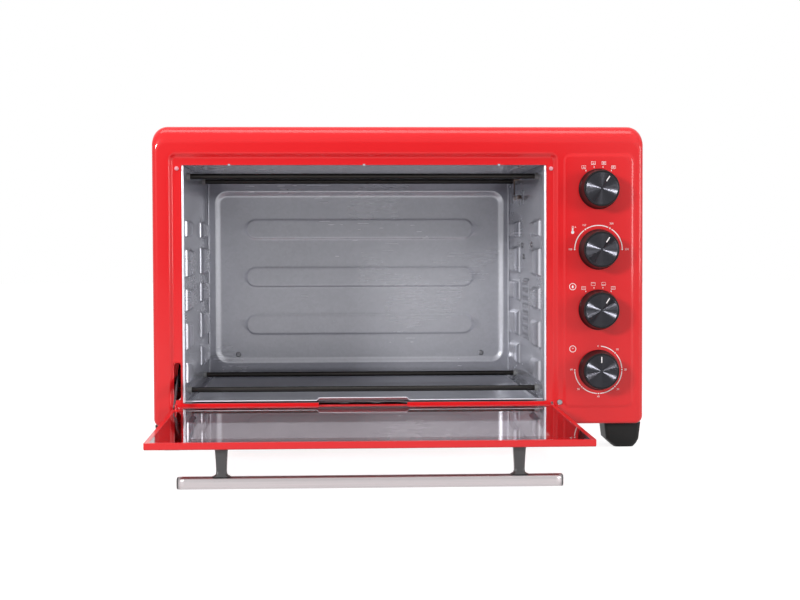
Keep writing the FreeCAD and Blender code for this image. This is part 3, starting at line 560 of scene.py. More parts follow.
def front_panel():
    """Height field over the middle of the face, a fan of outlines out to the skirt, then thickness."""
    flat = body_outline(0.0, np.array([0.0, 1.0]), np.array([0.0, 1.0]))
    x0, x1 = flat[0][0], flat[1][0]
    z0 = flat[:, 1].min() + 5
    z1 = flat[:, 1].max() - 11
    xs = [-268.2, OPENING[0], OPENING[1], 185.2, 195.4, 276.6, NOTCH[0], NOTCH[1]]
    xs += list(ARM_SLOT[:2]) + list(HINGE_SLITS[0]) + list(HINGE_SLITS[1]) + [KNOB_X - 8, KNOB_X + 8]
    zs = [NOTCH[2], OPENING[2], OPENING[3], 348.8, 50.4] + list(ARM_SLOT[2:]) + list(SLIT_HEIGHT)
    zs += [z + d for z in KNOB_Z.values() for d in (-8, 8)]
    gx = lines(x0, x1, 12.0, xs, 4.0)
    gz = lines(z0, z1, 12.0, zs, 4.0)
    x, z = np.meshgrid(gx, gz)
    points = [place(x, panel_depth(x, z), z).reshape(-1, 3)]
    faces = grid_faces(len(gz), len(gx))
    cx = (gx[:-1] + gx[1:]) / 2
    cz = (gz[:-1] + gz[1:]) / 2
    mx, mz = (m.ravel() for m in np.meshgrid(cx, cz))
    keep = np.ones(len(faces), dtype=bool)
    holes = [OPENING, ARM_SLOT, (NOTCH[0], NOTCH[1], NOTCH[2], OPENING[2] + 1)]
    holes += [slit + SLIT_HEIGHT for slit in HINGE_SLITS]
    holes += [(KNOB_X - 8, KNOB_X + 8, z - 8, z + 8) for z in KNOB_Z.values()]
    for a, b, c, d in holes:
        keep &= ~((mx > a) & (mx < b) & (mz > c) & (mz < d))
    faces = [faces[keep]]
    count = len(points[0])
    along_x = (gx - gx[0]) / (gx[-1] - gx[0])
    along_z = (gz - gz[0]) / (gz[-1] - gz[0])
    inner = loop(x0, x1, z0, z1, 0, 0, along_x, along_z)
    flat = body_outline(0.0, along_x, along_z)
    bands = []
    for part in np.linspace(0, 1, 9):
        ring = inner + (flat - inner) * part
        bands.append(place(ring[:, 0], panel_depth(ring[:, 0], ring[:, 1]) * (part < 1), ring[:, 1]))
    for turn in np.linspace(0, 90, 19)[1:]:
        y = TOP_BEVEL_DEPTH * (1 - math.cos(math.radians(turn)))
        ring = body_outline(y, along_x, along_z)
        bands.append(place(ring[:, 0], y, ring[:, 1]))
    ring = body_outline(SKIRT, along_x, along_z)
    bands.append(place(ring[:, 0], SKIRT, ring[:, 1]))
    bands = np.array(bands)
    points.append(bands.reshape(-1, 3))
    faces.append(grid_faces(bands.shape[0], bands.shape[1], count, True)[:, ::-1])
    count += bands.shape[0] * bands.shape[1]
    for z_mid in KNOB_Z.values():
        turn = np.linspace(0, 2 * np.pi, 48, endpoint=False) + np.pi / 4
        circle = np.stack([KNOB_X + SHAFT_HOLE * np.cos(turn), z_mid + SHAFT_HOLE * np.sin(turn)], axis=-1)
        band = ring_patch(circle, 8.0)
        points.append(place(band[..., 0], panel_depth(band[..., 0], band[..., 1]), band[..., 1]).reshape(-1, 3))
        faces.append(grid_faces(2, 48, count, True)[:, ::-1])
        count += 96
    return points, faces


def slot_band():
    """Band between the square cut of the arm slot and its round ends."""
    a, b, c, d = ARM_SLOT
    radius = (b - a) / 2 - 0.02
    even = np.linspace(0, 1, 12)
    outer = loop(a, b, c, d, 0.001, 0.001, even, even)
    inner = loop(a + 0.02, b - 0.02, c + 0.02, d - 0.02, radius, radius, even, even)
    band = np.stack([outer, inner])
    return place(band[..., 0], RECESS_FLOOR, band[..., 1]).reshape(-1, 3), len(outer)


def make_front_panel():
    points, faces = front_panel()
    count = sum(len(p) for p in points)
    band, width = slot_band()
    points.append(band)
    faces.append(grid_faces(2, width, count, True)[:, ::-1])
    mesh = mesh_of("front_panel_skin", np.concatenate(points), faces)
    clean(mesh, 2e-5, False, 50)
    piece = finish_piece("front_panel_skin", mesh, RED, "oven", "front_panel")
    wall = piece.modifiers.new("sheet", "SOLIDIFY")
    wall.thickness = SHEET / 1000
    wall.offset = -1
    return piece


make_front_panel()


# Cavity


def wall_shape(wall, inward, y, z):
    """X of a side wall: the wall, a low crease near the floor, and the rack supports.

    A support rises along a quarter ellipse from its front end, falls by a slope at its rear end,
    and is bounded by short slopes along Z. The lowest of these counts.
    """
    height = 0.45 * ramp_up(80 - z, 1.6) * ramp_up(y - 8, 4)
    for (y0, y1), rows in ((FRONT_RACK, FRONT_RACK_Z), (REAR_RACK, REAR_RACK_Z)):
        front = np.clip((y - y0) / RACK_FRONT, 0, 1)
        along = np.minimum(np.sqrt(1 - (1 - front) ** 2), ramp_up(y1 - y, RACK_SLOPE, 0.12))
        for z0, z1 in rows:
            across = ramp_up(np.minimum(z - z0 + 3, z1 + 3 - z), 3.4, 0.3)
            height = np.maximum(height, RACK_REACH * np.minimum(along, across))
    return wall + inward * height


def wall_surface(wall, inward, field=None):
    """Grid of a side wall with the normals into the cavity, and the cells of a square field left out."""
    ys = [y for pair in (FRONT_RACK, REAR_RACK) for y in pair]
    ys += [y0 + part * RACK_FRONT for y0, y1 in (FRONT_RACK, REAR_RACK) for part in (0.25, 0.55, 1.0)]
    ys += [y1 - RACK_SLOPE for y0, y1 in (FRONT_RACK, REAR_RACK)]
    zs = [z + side for z0, z1 in FRONT_RACK_Z + REAR_RACK_Z for z, side in ((z0, -1.4), (z1, 1.4))]
    if field:
        ys += field[:2]
        zs += field[2:]
    gy = lines(6.5, CAVITY_DEPTH - 0.2, 14.0, ys, 4.0, 1.0)
    gz = lines(57.4, ROOF - 0.2, 14.0, zs, 3.2, 0.8)
    y, z = np.meshgrid(gy, gz)
    faces = grid_faces(*y.shape)
    if inward < 0:
        faces = faces[:, ::-1]
    if field:
        my, mz = (m.ravel() for m in np.meshgrid((gy[:-1] + gy[1:]) / 2, (gz[:-1] + gz[1:]) / 2))
        faces = faces[~((my > field[0]) & (my < field[1]) & (mz > field[2]) & (mz < field[3]))]
    return place(wall_shape(wall, inward, y, z), y, z).reshape(-1, 3), faces


def perforated_field(wall, y0, z0, columns, rows, pitch, radius):
    """Square cells, each a band from its border in to a six-sided hole."""
    turn = 2 * np.pi * np.arange(24) / 24
    border = np.stack([np.cos(turn), np.sin(turn)], axis=-1)
    hole = border * np.cos(np.pi / 6) / np.cos(turn % (np.pi / 3) - np.pi / 6)[:, None]
    border = border / np.abs(border).max(axis=1, keepdims=True)
    cell = np.stack([border * pitch / 2, hole * radius])
    points = []
    faces = []
    for row in range(rows):
        for column in range(columns):
            band = place(wall, y0 + pitch * column + cell[..., 0], z0 + pitch * row + cell[..., 1])
            faces.append(grid_faces(2, 24, 48 * len(points), True))
            points.append(band.reshape(-1, 3))
    return np.concatenate(points), np.concatenate(faces)


def thicken(piece, thickness, offset=-1):
    """Gives a surface its sheet, on the side away from its normals."""
    wall = piece.modifiers.new("sheet", "SOLIDIFY")
    wall.thickness = thickness / 1000
    wall.offset = offset
    return piece


def make_wall(side, wall, inward):
    """Side wall of the cavity as a pressed sheet."""
    if inward > 0:
        points, faces = wall_surface(wall, inward)
    else:
        points, faces = wall_surface(wall, inward, [146.1, 204.9, 121.1, 199.5])
        more, cells = perforated_field(wall, 151, 126, 6, 8, 9.8, 2.9)
        faces = np.concatenate([faces, cells + len(points)])
        points = np.concatenate([points, more])
    mesh = mesh_of(f"cavity_{side}_wall_skin", points, [faces])
    clean(mesh, 2e-5, False, 50)
    return thicken(finish_piece(mesh.name, mesh, CAVITY, "oven", f"cavity_{side}_wall"), WALL_SHEET)


def make_hems():
    """Folded edges round the opening, bright from a lighter copy of the cavity sheet that paints their highlight: a
    rounded strip carried up each side and along the corners.
    """
    for side, wall, inward, width in (("left", LEFT_WALL, 1, 2.3), ("right", RIGHT_WALL, -1, 2.2)):
        outer = OPENING[0] if inward > 0 else OPENING[1] + 0.9
        inner = outer + inward * width
        turn = np.radians(np.linspace(0, 180, 9))
        bulge = RECESS_FLOOR - 0.75 - 0.35 * np.sin(turn)
        x = outer + (inner - outer) * (1 - np.cos(turn)) / 2
        x = np.concatenate([x, [inner, inner - inward * 0.8]])
        y = np.concatenate([bulge, [RECESS_FLOOR + 1.4, RECESS_FLOOR + 1.8]])
        low = np.array([57.6, 58.6, 60.0, 61.5, 63.5])
        z = np.concatenate([low, np.linspace(66, 337.2, 24)])
        points = place(x[None, :], y[None, :], z[:, None])
        mesh = mesh_of(f"{side}_hem", points.reshape(-1, 3), [grid_faces(len(z), len(x))])
        piece = thicken(finish_piece(mesh.name, clean(mesh, 1e-6, False, 60), HEM_HIGHLIGHT, "oven"), 0.25, 0)


def back_depth(x, z):
    """Relief of the rear wall towards the door: a ring and three raised long fields.

    The ring rises over 6.4 mm on its inner side and falls evenly on its outer side.
    """
    outer = depth_inside(x, z, (-243.6, 163.4, 78.6, 320.0), 17.0)
    height = 2.4 * np.minimum(1 - ramp_up(outer, 6.4, 0.2), 1 + outer / 14)
    for middle in (267.0, 199.5, 132.3):
        field = depth_inside(x, z, (-201.3, 120.6, middle - 14.25, middle + 14.25), 14.2)
        height = height + 0.6 * ramp_up(field, 1.7, 0.4)
    return height


def make_back():
    """Rear wall: a height field, then outlines that curl forward with a round edge."""
    x0, x1, z0, z1 = LEFT_WALL - 0.05, RIGHT_WALL + 0.05, 57.6, ROOF - 0.3
    zs = [m + side for m in (267.0, 199.5, 132.3) for side in (-13.4, -6.0, 6.0, 13.4)]
    gx = lines(x0 + 3, x1 - 3, 12.0, [-240.0, -230.0, 150.0, 160.0, -194.0, 113.3], 6.0, 0.8)
    gz = lines(z0 + 3, z1 - 3, 6.0, zs + [82.0, 92.0, 307.0, 317.0], 5.5, 0.7)
    x, z = np.meshgrid(gx, gz)
    points = [place(x, CAVITY_DEPTH - back_depth(x, z), z).reshape(-1, 3)]
    faces = [grid_faces(*x.shape)]
    along_x = (gx - gx[0]) / (gx[-1] - gx[0])
    along_z = (gz - gz[0]) / (gz[-1] - gz[0])
    bands = []
    for turn in np.radians(np.linspace(0, 88, 9)):
        inset = 3 * (1 - math.sin(turn))
        ring = loop(x0 + inset, x1 - inset, z0 + inset, z1 - inset, 3 - inset, 3 - inset, along_x, along_z)
        y = CAVITY_DEPTH - back_depth(ring[:, 0], ring[:, 1]) - 3 * (1 - math.cos(turn))
        bands.append(place(ring[:, 0], y, ring[:, 1]))
    bands.append(bands[-1] - np.array([0, 0.006, 0]))
    bands = np.array(bands)
    faces.append(grid_faces(bands.shape[0], bands.shape[1], len(points[0]), True)[:, ::-1])
    points.append(bands.reshape(-1, 3))
    mesh = mesh_of("cavity_back_skin", np.concatenate(points), faces)
    clean(mesh, 2e-5, False, 60)
    return thicken(finish_piece(mesh.name, mesh, CAVITY, "oven", "cavity_back"), WALL_SHEET)


def make_tray():
    """Crumb tray: a pan with turned-up edges, and a front lip that rises in the middle as a grip."""
    x0, x1, y0, y1 = -246.0, 164.0, 8.8, 346.0
    x, y = np.meshgrid(lines(x0, x1, 20.0, [x0 + 1.4, x1 - 1.4], 2.0, 0.6), lines(y0, y1, 20.0, [y0 + 1.4, y1 - 1.4], 2.0, 0.6))
    inside = np.minimum(np.minimum(x - x0, x1 - x), np.minimum(y - y0, y1 - y))
    points = place(x, y, 60.2 - 2.0 * ramp_up(inside, 2.6, 0.3))
    mesh = clean(mesh_of("crumb_tray_skin", points.reshape(-1, 3), [grid_faces(*x.shape)]), 1e-6, False, 60)
    thicken(finish_piece(mesh.name, mesh, TRAY, "crumb_tray", "crumb_tray"), 0.3)
    section = np.array([(2.82, -1.0, 1), (2.86, -0.75, 1), (3.1, -0.4, 1), (3.6, -0.12, 1), (4.4, 0, 1), (5.2, 0, 1),
                        (7.0, 0, 0.5), (8.8, -0.1, 0)])
    x = lines(-253.1, 170.4, 20.0, [-98.6, -95.4, 8.2, 11.4], 3.0, 0.8)
    lift = 3.1 * np.clip(np.minimum(x + 98.6, 11.4 - x) / 3.2, 0, 1)
    z = 60.3 + section[:, 1:2] + section[:, 2:] * lift
    points = place(x, section[:, :1] + 0 * x, z)
    mesh = clean(mesh_of("crumb_tray_lip", points.reshape(-1, 3), [grid_faces(*z.shape)]), 1e-6, False, 60)
    # the lip wears the lighter copy of the tray sheet: painted highlight on its edge
    piece = thicken(finish_piece(mesh.name, mesh, LIP_HIGHLIGHT, "crumb_tray"), 0.3)


def make_notch_flap():
    """Edge of the panel under the grip, bent inwards."""
    section = np.array([(4.05, 53.05), (4.3, 53.5), (4.9, 54.0), (6.2, 54.4), (8.2, 54.6)])
    x = np.linspace(NOTCH[0] + 0.1, NOTCH[1] - 0.1, 20)
    points = place(x[None, :], section[:, :1], section[:, 1:])
    mesh = mesh_of("notch_flap", points.reshape(-1, 3), [grid_faces(*points.shape[:2])])
    piece = thicken(finish_piece(mesh.name, mesh, RED, "oven"), 0.6)


# Controls


def circle_piece(name, profile, z, material, body, *nodes, count=128, angle=30):
    """Turned piece on a knob axis, from (radius, y) points."""
    points, faces = lathe(profile, KNOB_X, z, count)
    mesh = mesh_of(name, points, faces)
    clean(mesh, 2e-6, True, angle)
    return finish_piece(name, mesh, material, body, *nodes)


def knob_profile():
    """Section of a knob: seat of the disc, rounded rim, sloping side, flared foot and hollow back."""
    rim = np.radians(np.linspace(0, 80, 7))
    front = KNOB_FRONT
    section = [(0, front + 0.7), (19.55, front + 0.7), (19.7, front + 0.1)]
    section += [(20.0, front), (20.3, front)]
    section += [(20.3 + 0.8 * math.sin(a), front + 0.8 * (1 - math.cos(a))) for a in rim]
    side = np.linspace(0, 1, 9)
    section += [(21.2 + 0.9 * t + 1.5 * t ** 4, front + 1.2 + 18.2 * t) for t in side]
    section += [(23.9, -3.9), (24.0, -3.2), (23.9, -1.9), (22.0, -1.85), (19.3, -20.0), (6.0, -20.0)]
    section += [(5.6, -6.0), (3.1, -6.0), (3.1, -19.0), (0, -19.0)]
    return section


def disc_profile():
    """Face of the spun disc: fine round grooves, a smooth boss and a chamfered edge."""
    radius = np.linspace(0, 18.45, 247)
    swell = np.minimum(1, radius / 2.0)
    wave = 0.051 * np.arcsin(np.sin(2 * np.pi * radius / 0.6)) * swell
    face = [(r, KNOB_FRONT + 0.12 + w) for r, w in zip(radius, wave)]
    return face + [(18.7, KNOB_FRONT + 0.05), (19.2, KNOB_FRONT + 0.25), (19.4, KNOB_FRONT + 0.68), (0, KNOB_FRONT + 0.68)]


def flat_band(cx, cz, radius, width, start, end, steps):
    """Arc of a ring in the XZ plane, angles clockwise from the top."""
    turn = np.radians(np.linspace(start, end, steps))
    edge = [np.stack([cx + r * np.sin(turn), cz + r * np.cos(turn)], axis=-1)
            for r in (radius - width / 2, radius + width / 2)]
    return np.stack(edge)


def flat_bar(cx, cz, radius, start, end, width, turn):
    """Short bar that points away from a knob's middle, from one radius to another."""
    angle = math.radians(turn)
    along = np.array([math.sin(angle), math.cos(angle)])
    across = np.array([along[1], -along[0]]) * width / 2
    line = np.array([cx, cz]) + along * np.array([[start], [end]])
    return np.stack([line - across, line + across])


class Print:
    """Flat print gathered as grids of points in the XZ plane."""

    def __init__(self, y):
        self.y = y
        self.points = []
        self.faces = []
        self.count = 0

    def band(self, grid):
        rows, columns = grid.shape[:2]
        faces = grid_faces(rows, columns, self.count)
        ahead = np.cross(grid[0, 1] - grid[0, 0], grid[1, 0] - grid[0, 0])
        self.faces.append(faces if ahead > 0 else faces[:, ::-1])
        self.points.append(place(grid[..., 0], self.y, grid[..., 1]).reshape(-1, 3))
        self.count += rows * columns

    def arc(self, cx, cz, radius, width, start, end):
        self.band(flat_band(cx, cz, radius, width, start, end, max(5, int(abs(end - start) / 4))))

    def line(self, x0, z0, x1, z1, width):
        along = np.array([x1 - x0, z1 - z0], dtype=float)
        across = np.array([-along[1], along[0]]) / np.hypot(*along) * width / 2
        ends = np.array([[x0, z0], [x1, z1]], dtype=float)
        self.band(np.stack([ends - across, ends + across]))

    def box(self, x, z, wide, high, width):
        """Outline of a rectangle about its middle."""
        for side in (-1, 1):
            self.line(x - wide / 2, z + side * high / 2, x + wide / 2, z + side * high / 2, width)
            self.line(x + side * wide / 2, z - high / 2, x + side * wide / 2, z + high / 2, width)

    def dot(self, x, z, radius):
        self.arc(x, z, radius / 2, radius, 0, 360)

    def drop(self, x, z, size):
        """Flame or tip: two rows of points that close at the top."""
        t = np.linspace(0, 1, 7)
        half = size * 0.55 * np.sin(np.pi * t ** 0.7)
        level = z - size + 2 * size * t
        self.band(np.stack([np.stack([x - half, level], -1), np.stack([x + half, level], -1)]))

    def mesh(self, name):
        mesh = mesh_of(name, np.concatenate(self.points), self.faces, False)
        return clean(mesh, 1e-6, False)


def numerals(text, x, z, size, y):
    """Figures as a mesh that faces the front, made from a text curve."""
    curve = bpy.data.curves.new("figures", "FONT")
    curve.body = text
    curve.size = size / 1000
    curve.align_x = "CENTER"
    curve.align_y = "CENTER"
    holder = bpy.data.objects.new("figures", curve)
    mesh = bpy.data.meshes.new_from_object(holder)
    bpy.data.objects.remove(holder)
    mesh.transform(Matrix.Translation(place(x, y, z).tolist()) @ Matrix.Rotation(math.pi / 2, 4, "X"))
    return mesh


def make_numerals(name, labels, size):
    """One piece of all the figures on a dial."""
    y = -PLATEAU_HEIGHT - 0.05
    work = bmesh.new()
    for text, x, z in labels:
        part = numerals(text, x, z, size, y)
        work.from_mesh(part)
        bpy.data.meshes.remove(part)
    mesh = bpy.data.meshes.new(name)
    work.to_mesh(mesh)
    work.free()
    return finish_piece(name, mesh, PRINT, "oven")


def around(z, radius, turn):
    """Point at a radius from a knob's middle, the angle clockwise from the top."""
    angle = math.radians(turn)
    return KNOB_X + radius * math.sin(angle), z + radius * math.cos(angle)


def element_sign(ink, x, z, marks):
    """Small oven sign: a box, with a toothed line for each heater that is on."""
    ink.box(x, z, 4.8, 3.6, 0.3)
    for mark in marks:
        level = z + (1.0 if mark == "top" else -1.0)
        for step in np.linspace(-1.6, 1.6, 5):
            ink.line(x + step - 0.28, level, x + step + 0.28, level, 0.45)
        if mark == "fan":
            for turn in (45, 135):
                reach = 1.0
                dx, dz = reach * math.sin(math.radians(turn)), reach * math.cos(math.radians(turn))
                ink.line(x - dx, z - dz, x + dx, z + dz, 0.35)


def make_prints():
    """Dial rings, pointers, signs and figures on the plateau."""
    ink = Print(-PLATEAU_HEIGHT - 0.05)
    signs = {"function": (("fan",), ("fan", "bottom"), ("top", "fan"), ("top", "bottom", "fan")),
             "heat": (("top", "bottom"), ("top",), ("bottom",), ("top", "bottom"))}
    for name, marks in signs.items():
        z = KNOB_Z[name]
        for turn, mark in zip((-34.5, -11.5, 11.5, 34.5), marks):
            x, high = around(z, 26.6, turn)
            ink.drop(x, high, 1.0)
            x, high = around(z, 31.2, turn)
            element_sign(ink, x, high, mark)
    z = KNOB_Z["temperature"]
    for start, end in ((-88, -38), (-30, 24), (33, 88)):
        ink.arc(KNOB_X, z, 28.4, 1.15, start, end)
    for turn in (-90, -33.5, 28.5, 90):
        ink.dot(*around(z, 28.4, turn), 0.95)
    z = KNOB_Z["timer"]
    stops = (3, 45, 90, 135, 180, 225, 270)
    for start, end in zip(stops[:-1], stops[1:]):
        ink.arc(KNOB_X, z, 28.2, 1.05, start + 3.5, end - 3.5)
    for turn in stops[1:]:
        ink.dot(*around(z, 28.2, turn), 0.85)
    x, z = 205.2, 262.0
    ink.arc(x, z + 2, 0.7, 0.45, -90, 90)
    for side in (-1, 1):
        ink.line(x + side * 0.7, z + 2, x + side * 0.7, z - 3, 0.45)
    ink.dot(x, z - 4.4, 1.9)
    ink.line(x, z - 4, x, z + 0.5, 0.7)
    ink.arc(x + 3.2, z + 1.6, 0.6, 0.35, 0, 360)
    x, z = 205.3, 193.2
    ink.arc(x, z, 3.8, 0.7, 0, 360)
    ink.drop(x, z, 2.1)
    x, z = 205.4, 119.3
    ink.arc(x, z, 3.7, 0.7, 0, 360)
    ink.line(x, z, x - 0.9, z + 1.3, 0.45)
    ink.line(x, z, x + 1.3, z + 1.1, 0.45)
    finish_piece("dial_print", ink.mesh("dial_print"), PRINT, "oven")
    z = KNOB_Z["temperature"]
    places = (("100", -90, 33.6), ("150", -31, 33.4), ("200", 27, 34.2), ("250", 90, 33.6))
    labels = [(text, *around(z, radius, turn)) for text, turn, radius in places]
    z = KNOB_Z["timer"]
    places = (("0", -1, 28.2), ("10", 43, 33.0), ("20", 90, 32.4), ("30", 135, 33.0))
    places += (("40", 180, 31.8), ("50", 226, 33.0), ("60", 271, 32.2))
    labels += [(text, *around(z, radius, turn)) for text, turn, radius in places]
    make_numerals("dial_figures", labels, 3.1)


def make_knobs():
    """Four knobs, each with its grooved disc and its white pointer."""
    for name, z in KNOB_Z.items():
        body = f"{name}_knob"
        circle_piece(f"{name}_knob_skin", knob_profile(), z, KNOB, body, f"{name}_knob")
        circle_piece(f"{name}_disc_skin", disc_profile(), z, DISC, body, f"{name}_knob_cap", count=144)
        ink = Print(KNOB_FRONT - 0.04)
        ink.band(flat_bar(KNOB_X, z, 0, 9.9, 16.9, 1.25, 0 if name == "timer" else 33))
        finish_piece(f"{name}_pointer", ink.mesh(f"{name}_pointer"), PRINT, body)


# Door


def oblong(cx, cz, half_x, half_z, radius, corner=6):
    """Rounded rectangle as a closed outline."""
    even = np.array([0.0, 1.0])
    return loop(cx - half_x, cx + half_x, cz - half_z, cz + half_z, radius, radius, even, even, corner)


def hang(points):
    """Turns door points, drawn level, down to the hinge stop."""
    turn = math.radians(-DROOP)
    axis = place(0, HINGE[0], HINGE[1])
    y = points[..., 1] - axis[1]
    z = points[..., 2] - axis[2]
    turned = np.stack([points[..., 0], axis[1] + y * math.cos(turn) + z * math.sin(turn),
                       axis[2] - y * math.sin(turn) + z * math.cos(turn)], axis=-1)
    return turned


def make_glass():
    """Flat pane: a rounded outline drawn at two heights, joined by its edge."""
    x0, x1 = DOOR_X[0] + 4.85, DOOR_X[1] - 4.85
    y0, y1 = HINGE[0] - DOOR_REACH + 4.85, HINGE[0] - 9.55
    outline = oblong((x0 + x1) / 2, (y0 + y1) / 2, (x1 - x0) / 2, (y1 - y0) / 2, 2.95)
    levels = HINGE[1] + np.array([-0.95, DOOR_HALF - 0.1])
    points = hang(place(outline[None, :, 0], outline[None, :, 1], levels[:, None])).reshape(-1, 3)
    count = len(outline)
    index = np.arange(count)
    mesh = mesh_of("door_glass_skin", points, [grid_faces(2, count, 0, True), index[None, :], index[None, :] + count], False)
    clean(mesh, 1e-6)
    return finish_piece(mesh.name, mesh, GLASS, "door", "door_glass")


def make_bar():
    """Rounded bar: an oblong section carried along X."""
    y = HINGE[0] - BAR_S
    z = HINGE[1] + BAR_N
    section = oblong(y, z, 6.0, 6.15, 4.2, 8)
    x = np.concatenate([[BAR_X[0] + 1.5], np.linspace(BAR_X[0] + 8, BAR_X[1] - 8, 12), [BAR_X[1] - 1.5]])
    points = hang(place(x[:, None], section[None, :, 0], section[None, :, 1]))
    mesh = mesh_of("handle_bar_skin", points.reshape(-1, 3), [grid_faces(len(x), len(section), 0, True)])
    clean(mesh, 1e-6, True, 30)
    return thicken(finish_piece(mesh.name, mesh, BAR, "door", "handle_bar"), 1.0)


def make_posts():
    """Posts: rounded sections that narrow from the door and spread again on the bar."""
    low = HINGE[1] + BAR_N + 6.25
    high = HINGE[1] - DOOR_HALF - 0.05
    t = np.linspace(0, 1, 28)
    z = low + (high - low) * t
    wide = 5.1 + 1.3 * t ** 1.6 + 3.9 * np.exp(-t * 24) + 0.5 * np.exp(-(1 - t) * 30)
    deep = 5.15 + 1.6 * t
    shift = 2.4 * np.minimum(1, t * 5)
    points = []
    faces = []
    for x in POST_X:
        rings = [oblong(x, HINGE[0] - BAR_S + s, w, d, 2.4) for w, d, s in zip(wide, deep, shift)]
        rings = np.array(rings)
        grid = hang(place(rings[..., 0], rings[..., 1], z[:, None])).reshape(-1, 3)
        faces.append(grid_faces(*rings.shape[:2], sum(len(p) for p in points), True))
        points.append(grid)
    mesh = mesh_of("handle_posts_skin", np.concatenate(points), faces)
    fill = bmesh.new()
    fill.from_mesh(mesh)
    bmesh.ops.holes_fill(fill, edges=fill.edges, sides=0)
    fill.to_mesh(mesh)
    fill.free()
    clean(mesh, 1e-6, True, 40)
    return finish_piece(mesh.name, mesh, POST, "door", "handle_posts")


def make_spring():
    """Coil of the door spring: a round wire carried along a helix, with straight hooks."""
    low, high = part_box("door_spring")
    middle = (low + high) / 2
    x = middle.x - 0.0003
    y0, y1, z = low.y + 0.001, high.y - 0.001, middle.z
    turns = 34
    t = np.linspace(0, 1, turns * 20)
    coil = np.stack([x + 0.0036 * np.cos(2 * np.pi * turns * t), y0 + 0.011 + (y1 - y0 - 0.020) * t,
                     z + 0.0036 * np.sin(2 * np.pi * turns * t)], axis=-1)
    curve = bpy.data.curves.new("door_spring_wire", "CURVE")
    curve.dimensions = "3D"
    curve.bevel_depth = 0.00065
    curve.bevel_resolution = 2
    line = curve.splines.new("POLY")
    ends = np.array([[x, y0, z], [x, y0 + 0.009, z]]), np.array([[x, y1 - 0.007, z], [x, y1, z]])
    path = np.concatenate([ends[0], coil, ends[1]])
    line.points.add(len(path) - 1)
    line.points.foreach_set("co", np.concatenate([path, np.ones((len(path), 1))], axis=1).ravel())
    holder = bpy.data.objects.new("door_spring_wire", curve)
    mesh = bpy.data.meshes.new_from_object(holder)
    bpy.data.objects.remove(holder)
    mesh.name = "door_spring_skin"
    mesh.polygons.foreach_set("use_smooth", np.ones(len(mesh.polygons), dtype=bool))
    piece = finish_piece(mesh.name, mesh, ZINC, "oven", "door_spring")
    return piece


make_wall("left", LEFT_WALL, 1)
make_wall("right", RIGHT_WALL, -1)
make_hems()
make_back()
make_tray()
make_notch_flap()
make_knobs()
make_prints()
make_glass()
make_bar()
make_posts()

skin("outer_shell", RED, 40)
skin("door_frame", RED, 35)
skin("arm_lug", RED, 35)
skin("base_pan", PAN, 40)
skin("back_cover", PAN, 40)
skin("feet", BLACK, 35, 0.8, 3)
skin("handle_end_caps", POST, 30)
for name in ("upper_front", "upper_rear", "lower_front", "lower_rear"):
    skin(f"{name}_heater", HEATER, 40)
skin("heater_ends", DARK_CERAMIC, 35, 0.3)
skin("cavity_roof", CAVITY, 35)
skin("cavity_floor", CAVITY, 35)
skin("cavity_screws", SCREW, 30)
skin("case_screws", ZINC, 30)
skin("foot_screws", ZINC, 30)
skin("handle_screws", ZINC, 30)
skin("thermostat_bulb", COPPER, 40)
skin("bulb_clips", PAN, 35)
skin("door_bumpers", RUBBER, 30, 0.3)
skin("hinge_arm", ARM, 35, 0.2)
skin("hinge_pins", ZINC, 30)
skin("hinge_brackets", PAN, 35)
skin("guide_roller", BLACK, 30)
skin("door_spring", ZINC, 40)
skin("spring_anchor", PAN, 35)
skin("cord_gland", GROMMET, 35, 0.4)
skin("wiring_loom", SLEEVE, 40)
skin("terminal_block", CERAMIC, 35, 0.3)
skin("control_bracket", PAN, 35)
skin("function_switch", PHENOLIC, 35, 0.4)
skin("heat_switch", PHENOLIC, 35, 0.4)
skin("thermostat", PHENOLIC, 35, 0.4)
skin("timer_unit", ZINC, 35, 0.4)
skin("fan_motor", IRON, 35)
skin("fan_wheel", PAN, 35)
skin("fan_duct", PAN, 35)
for name in KNOB_Z:
    skin(f"{name}_knob_shaft", ZINC, 30)



# Studio


def camera():
    eye = Vector((-0.0789, (-1802.5 + FRONT) / 1000, 0.23774))
    yaw, pitch, roll = (math.radians(a) for a in (2.518, 1.888, -0.168))
    forward = Vector((math.sin(yaw) * math.cos(pitch), math.cos(yaw) * math.cos(pitch), -math.sin(pitch)))
    right = Vector((math.cos(yaw), -math.sin(yaw), 0))
    up = right.cross(forward)
    right, up = math.cos(roll) * right + math.sin(roll) * up, math.cos(roll) * up - math.sin(roll) * right
    data = bpy.data.cameras.new("camera")
    data.sensor_width = 36.0
    data.lens = 36.0 * 1529.3 / 800
    rig = bpy.data.objects.new("camera", data)
    bpy.context.scene.collection.objects.link(rig)
    rig.matrix_world = Matrix.Translation(eye) @ Matrix((right, up, -forward)).transposed().to_4x4()
    bpy.context.scene.camera = rig


camera()


def light(name, where, look, size, power, spread=180):
    data = bpy.data.lights.new(name, "AREA")
    data.shape = "RECTANGLE"
    data.size, data.size_y = size
    data.energy = power
    lamp = bpy.data.objects.new(name, data)
    bpy.context.scene.collection.objects.link(lamp)
    lamp.location = where
    lamp.rotation_euler = (Vector(look) - Vector(where)).to_track_quat("-Z", "Y").to_euler()
    return lamp


light("left_window", (-1.45, -1.85, 0.92), (0, 0, 0.2), (0.36, 0.36), 32)
light("right_window", (2.2, -1.6, 0.55), (0, 0, 0.2), (1.1, 0.80), 22)
light("top_panel", (-0.1, -0.5, 1.9), (0, -0.1, 0.2), (2.0, 0.6), 16)


def seen(finish):
    """1 on rays that see a surface from the camera, in a mirror or through glass."""
    path = finish.node("ShaderNodeLightPath")
    rays = [finish.value(path, output) for output in ("Is Camera Ray", "Is Glossy Ray", "Is Transmission Ray")]
    return (rays[0] + rays[1] + rays[2]).clamp()


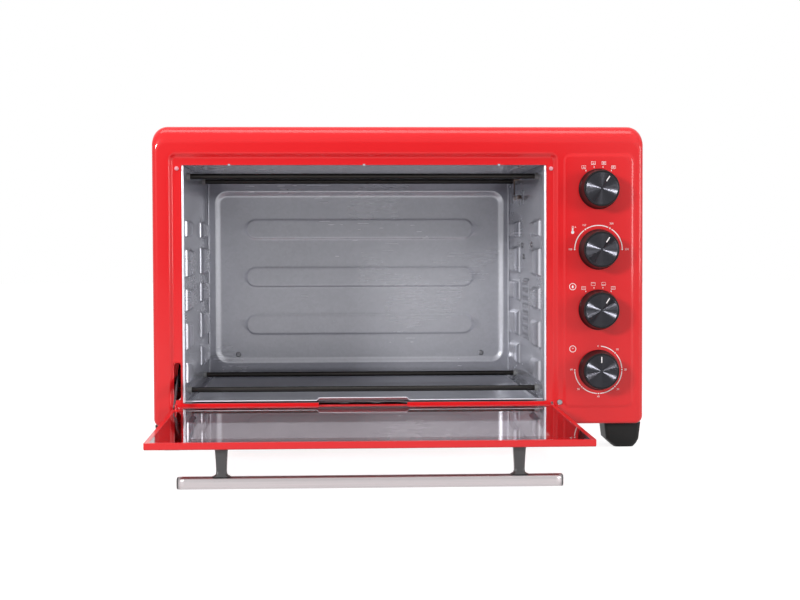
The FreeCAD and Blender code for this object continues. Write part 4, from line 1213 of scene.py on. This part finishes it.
def make_world():
    """Soft room light, stronger from above and the right. Mirrors see a dim patch behind the camera."""
    world = bpy.data.worlds.new("studio")
    bpy.context.scene.world = world
    world.use_nodes = True
    sky = Finish.__new__(Finish)
    sky.tree = world.node_tree
    sky.tree.nodes.clear()
    output = sky.tree.nodes.new("ShaderNodeOutputWorld")
    x, y, z = sky.axes(sky.value(sky.node("ShaderNodeTexCoord"), "Generated"))
    backdrop = (y * 4.0 + 1.2).clamp()
    across = x - 0.03
    above = z - 0.04
    away = (((across * across + above * above) ** 0.5 - 0.11) * 10.0).clamp()
    room = 0.22 + 0.66 * away + 0.5 * ((x - 0.10) * 8.0).clamp() * ((0.75 - x) * 6.0).clamp()
    shown = room + (1.0 - room) * backdrop
    soft = 0.20 + 0.24 * (z + 0.25).clamp() + 0.32 * (x + 0.1).clamp()
    path = sky.node("ShaderNodeLightPath")
    white = sky.value(path, "Is Camera Ray") + sky.value(path, "Is Transmission Ray")
    mirror = sky.value(path, "Is Glossy Ray") * (1.0 - white).clamp()
    level = white.clamp() + mirror * shown + (1.0 - white - mirror).clamp() * soft
    back = sky.node("ShaderNodeBackground", Color=grey(1.0), Strength=level)
    sky.tree.links.new(back.outputs[0], output.inputs["Surface"])


def make_floor():
    """Pale floor: part of its white is its own light on seen rays, so the shadow of the oven stays."""
    plane = bpy.data.meshes.new("floor")
    plane.from_pydata([(-9, -9, 0), (9, -9, 0), (9, 9, 0), (-9, 9, 0)], [], [(0, 1, 2, 3)])
    ground = bpy.data.objects.new("floor", plane)
    bpy.context.scene.collection.objects.link(ground)
    finish = Finish("floor")
    glow = finish.node("ShaderNodeEmission", Color=grey(1.0), Strength=0.86 * seen(finish))
    matt = finish.node("ShaderNodeBsdfDiffuse", Color=grey(0.42))
    both = finish.node("ShaderNodeAddShader")
    finish.tree.links.new(glow.outputs[0], both.inputs[0])
    finish.tree.links.new(matt.outputs[0], both.inputs[1])
    finish.tree.links.new(both.outputs[0], finish.output.inputs["Surface"])
    plane.materials.append(finish.material)


make_world()
make_floor()
bpy.context.scene.view_settings.view_transform = "Standard"
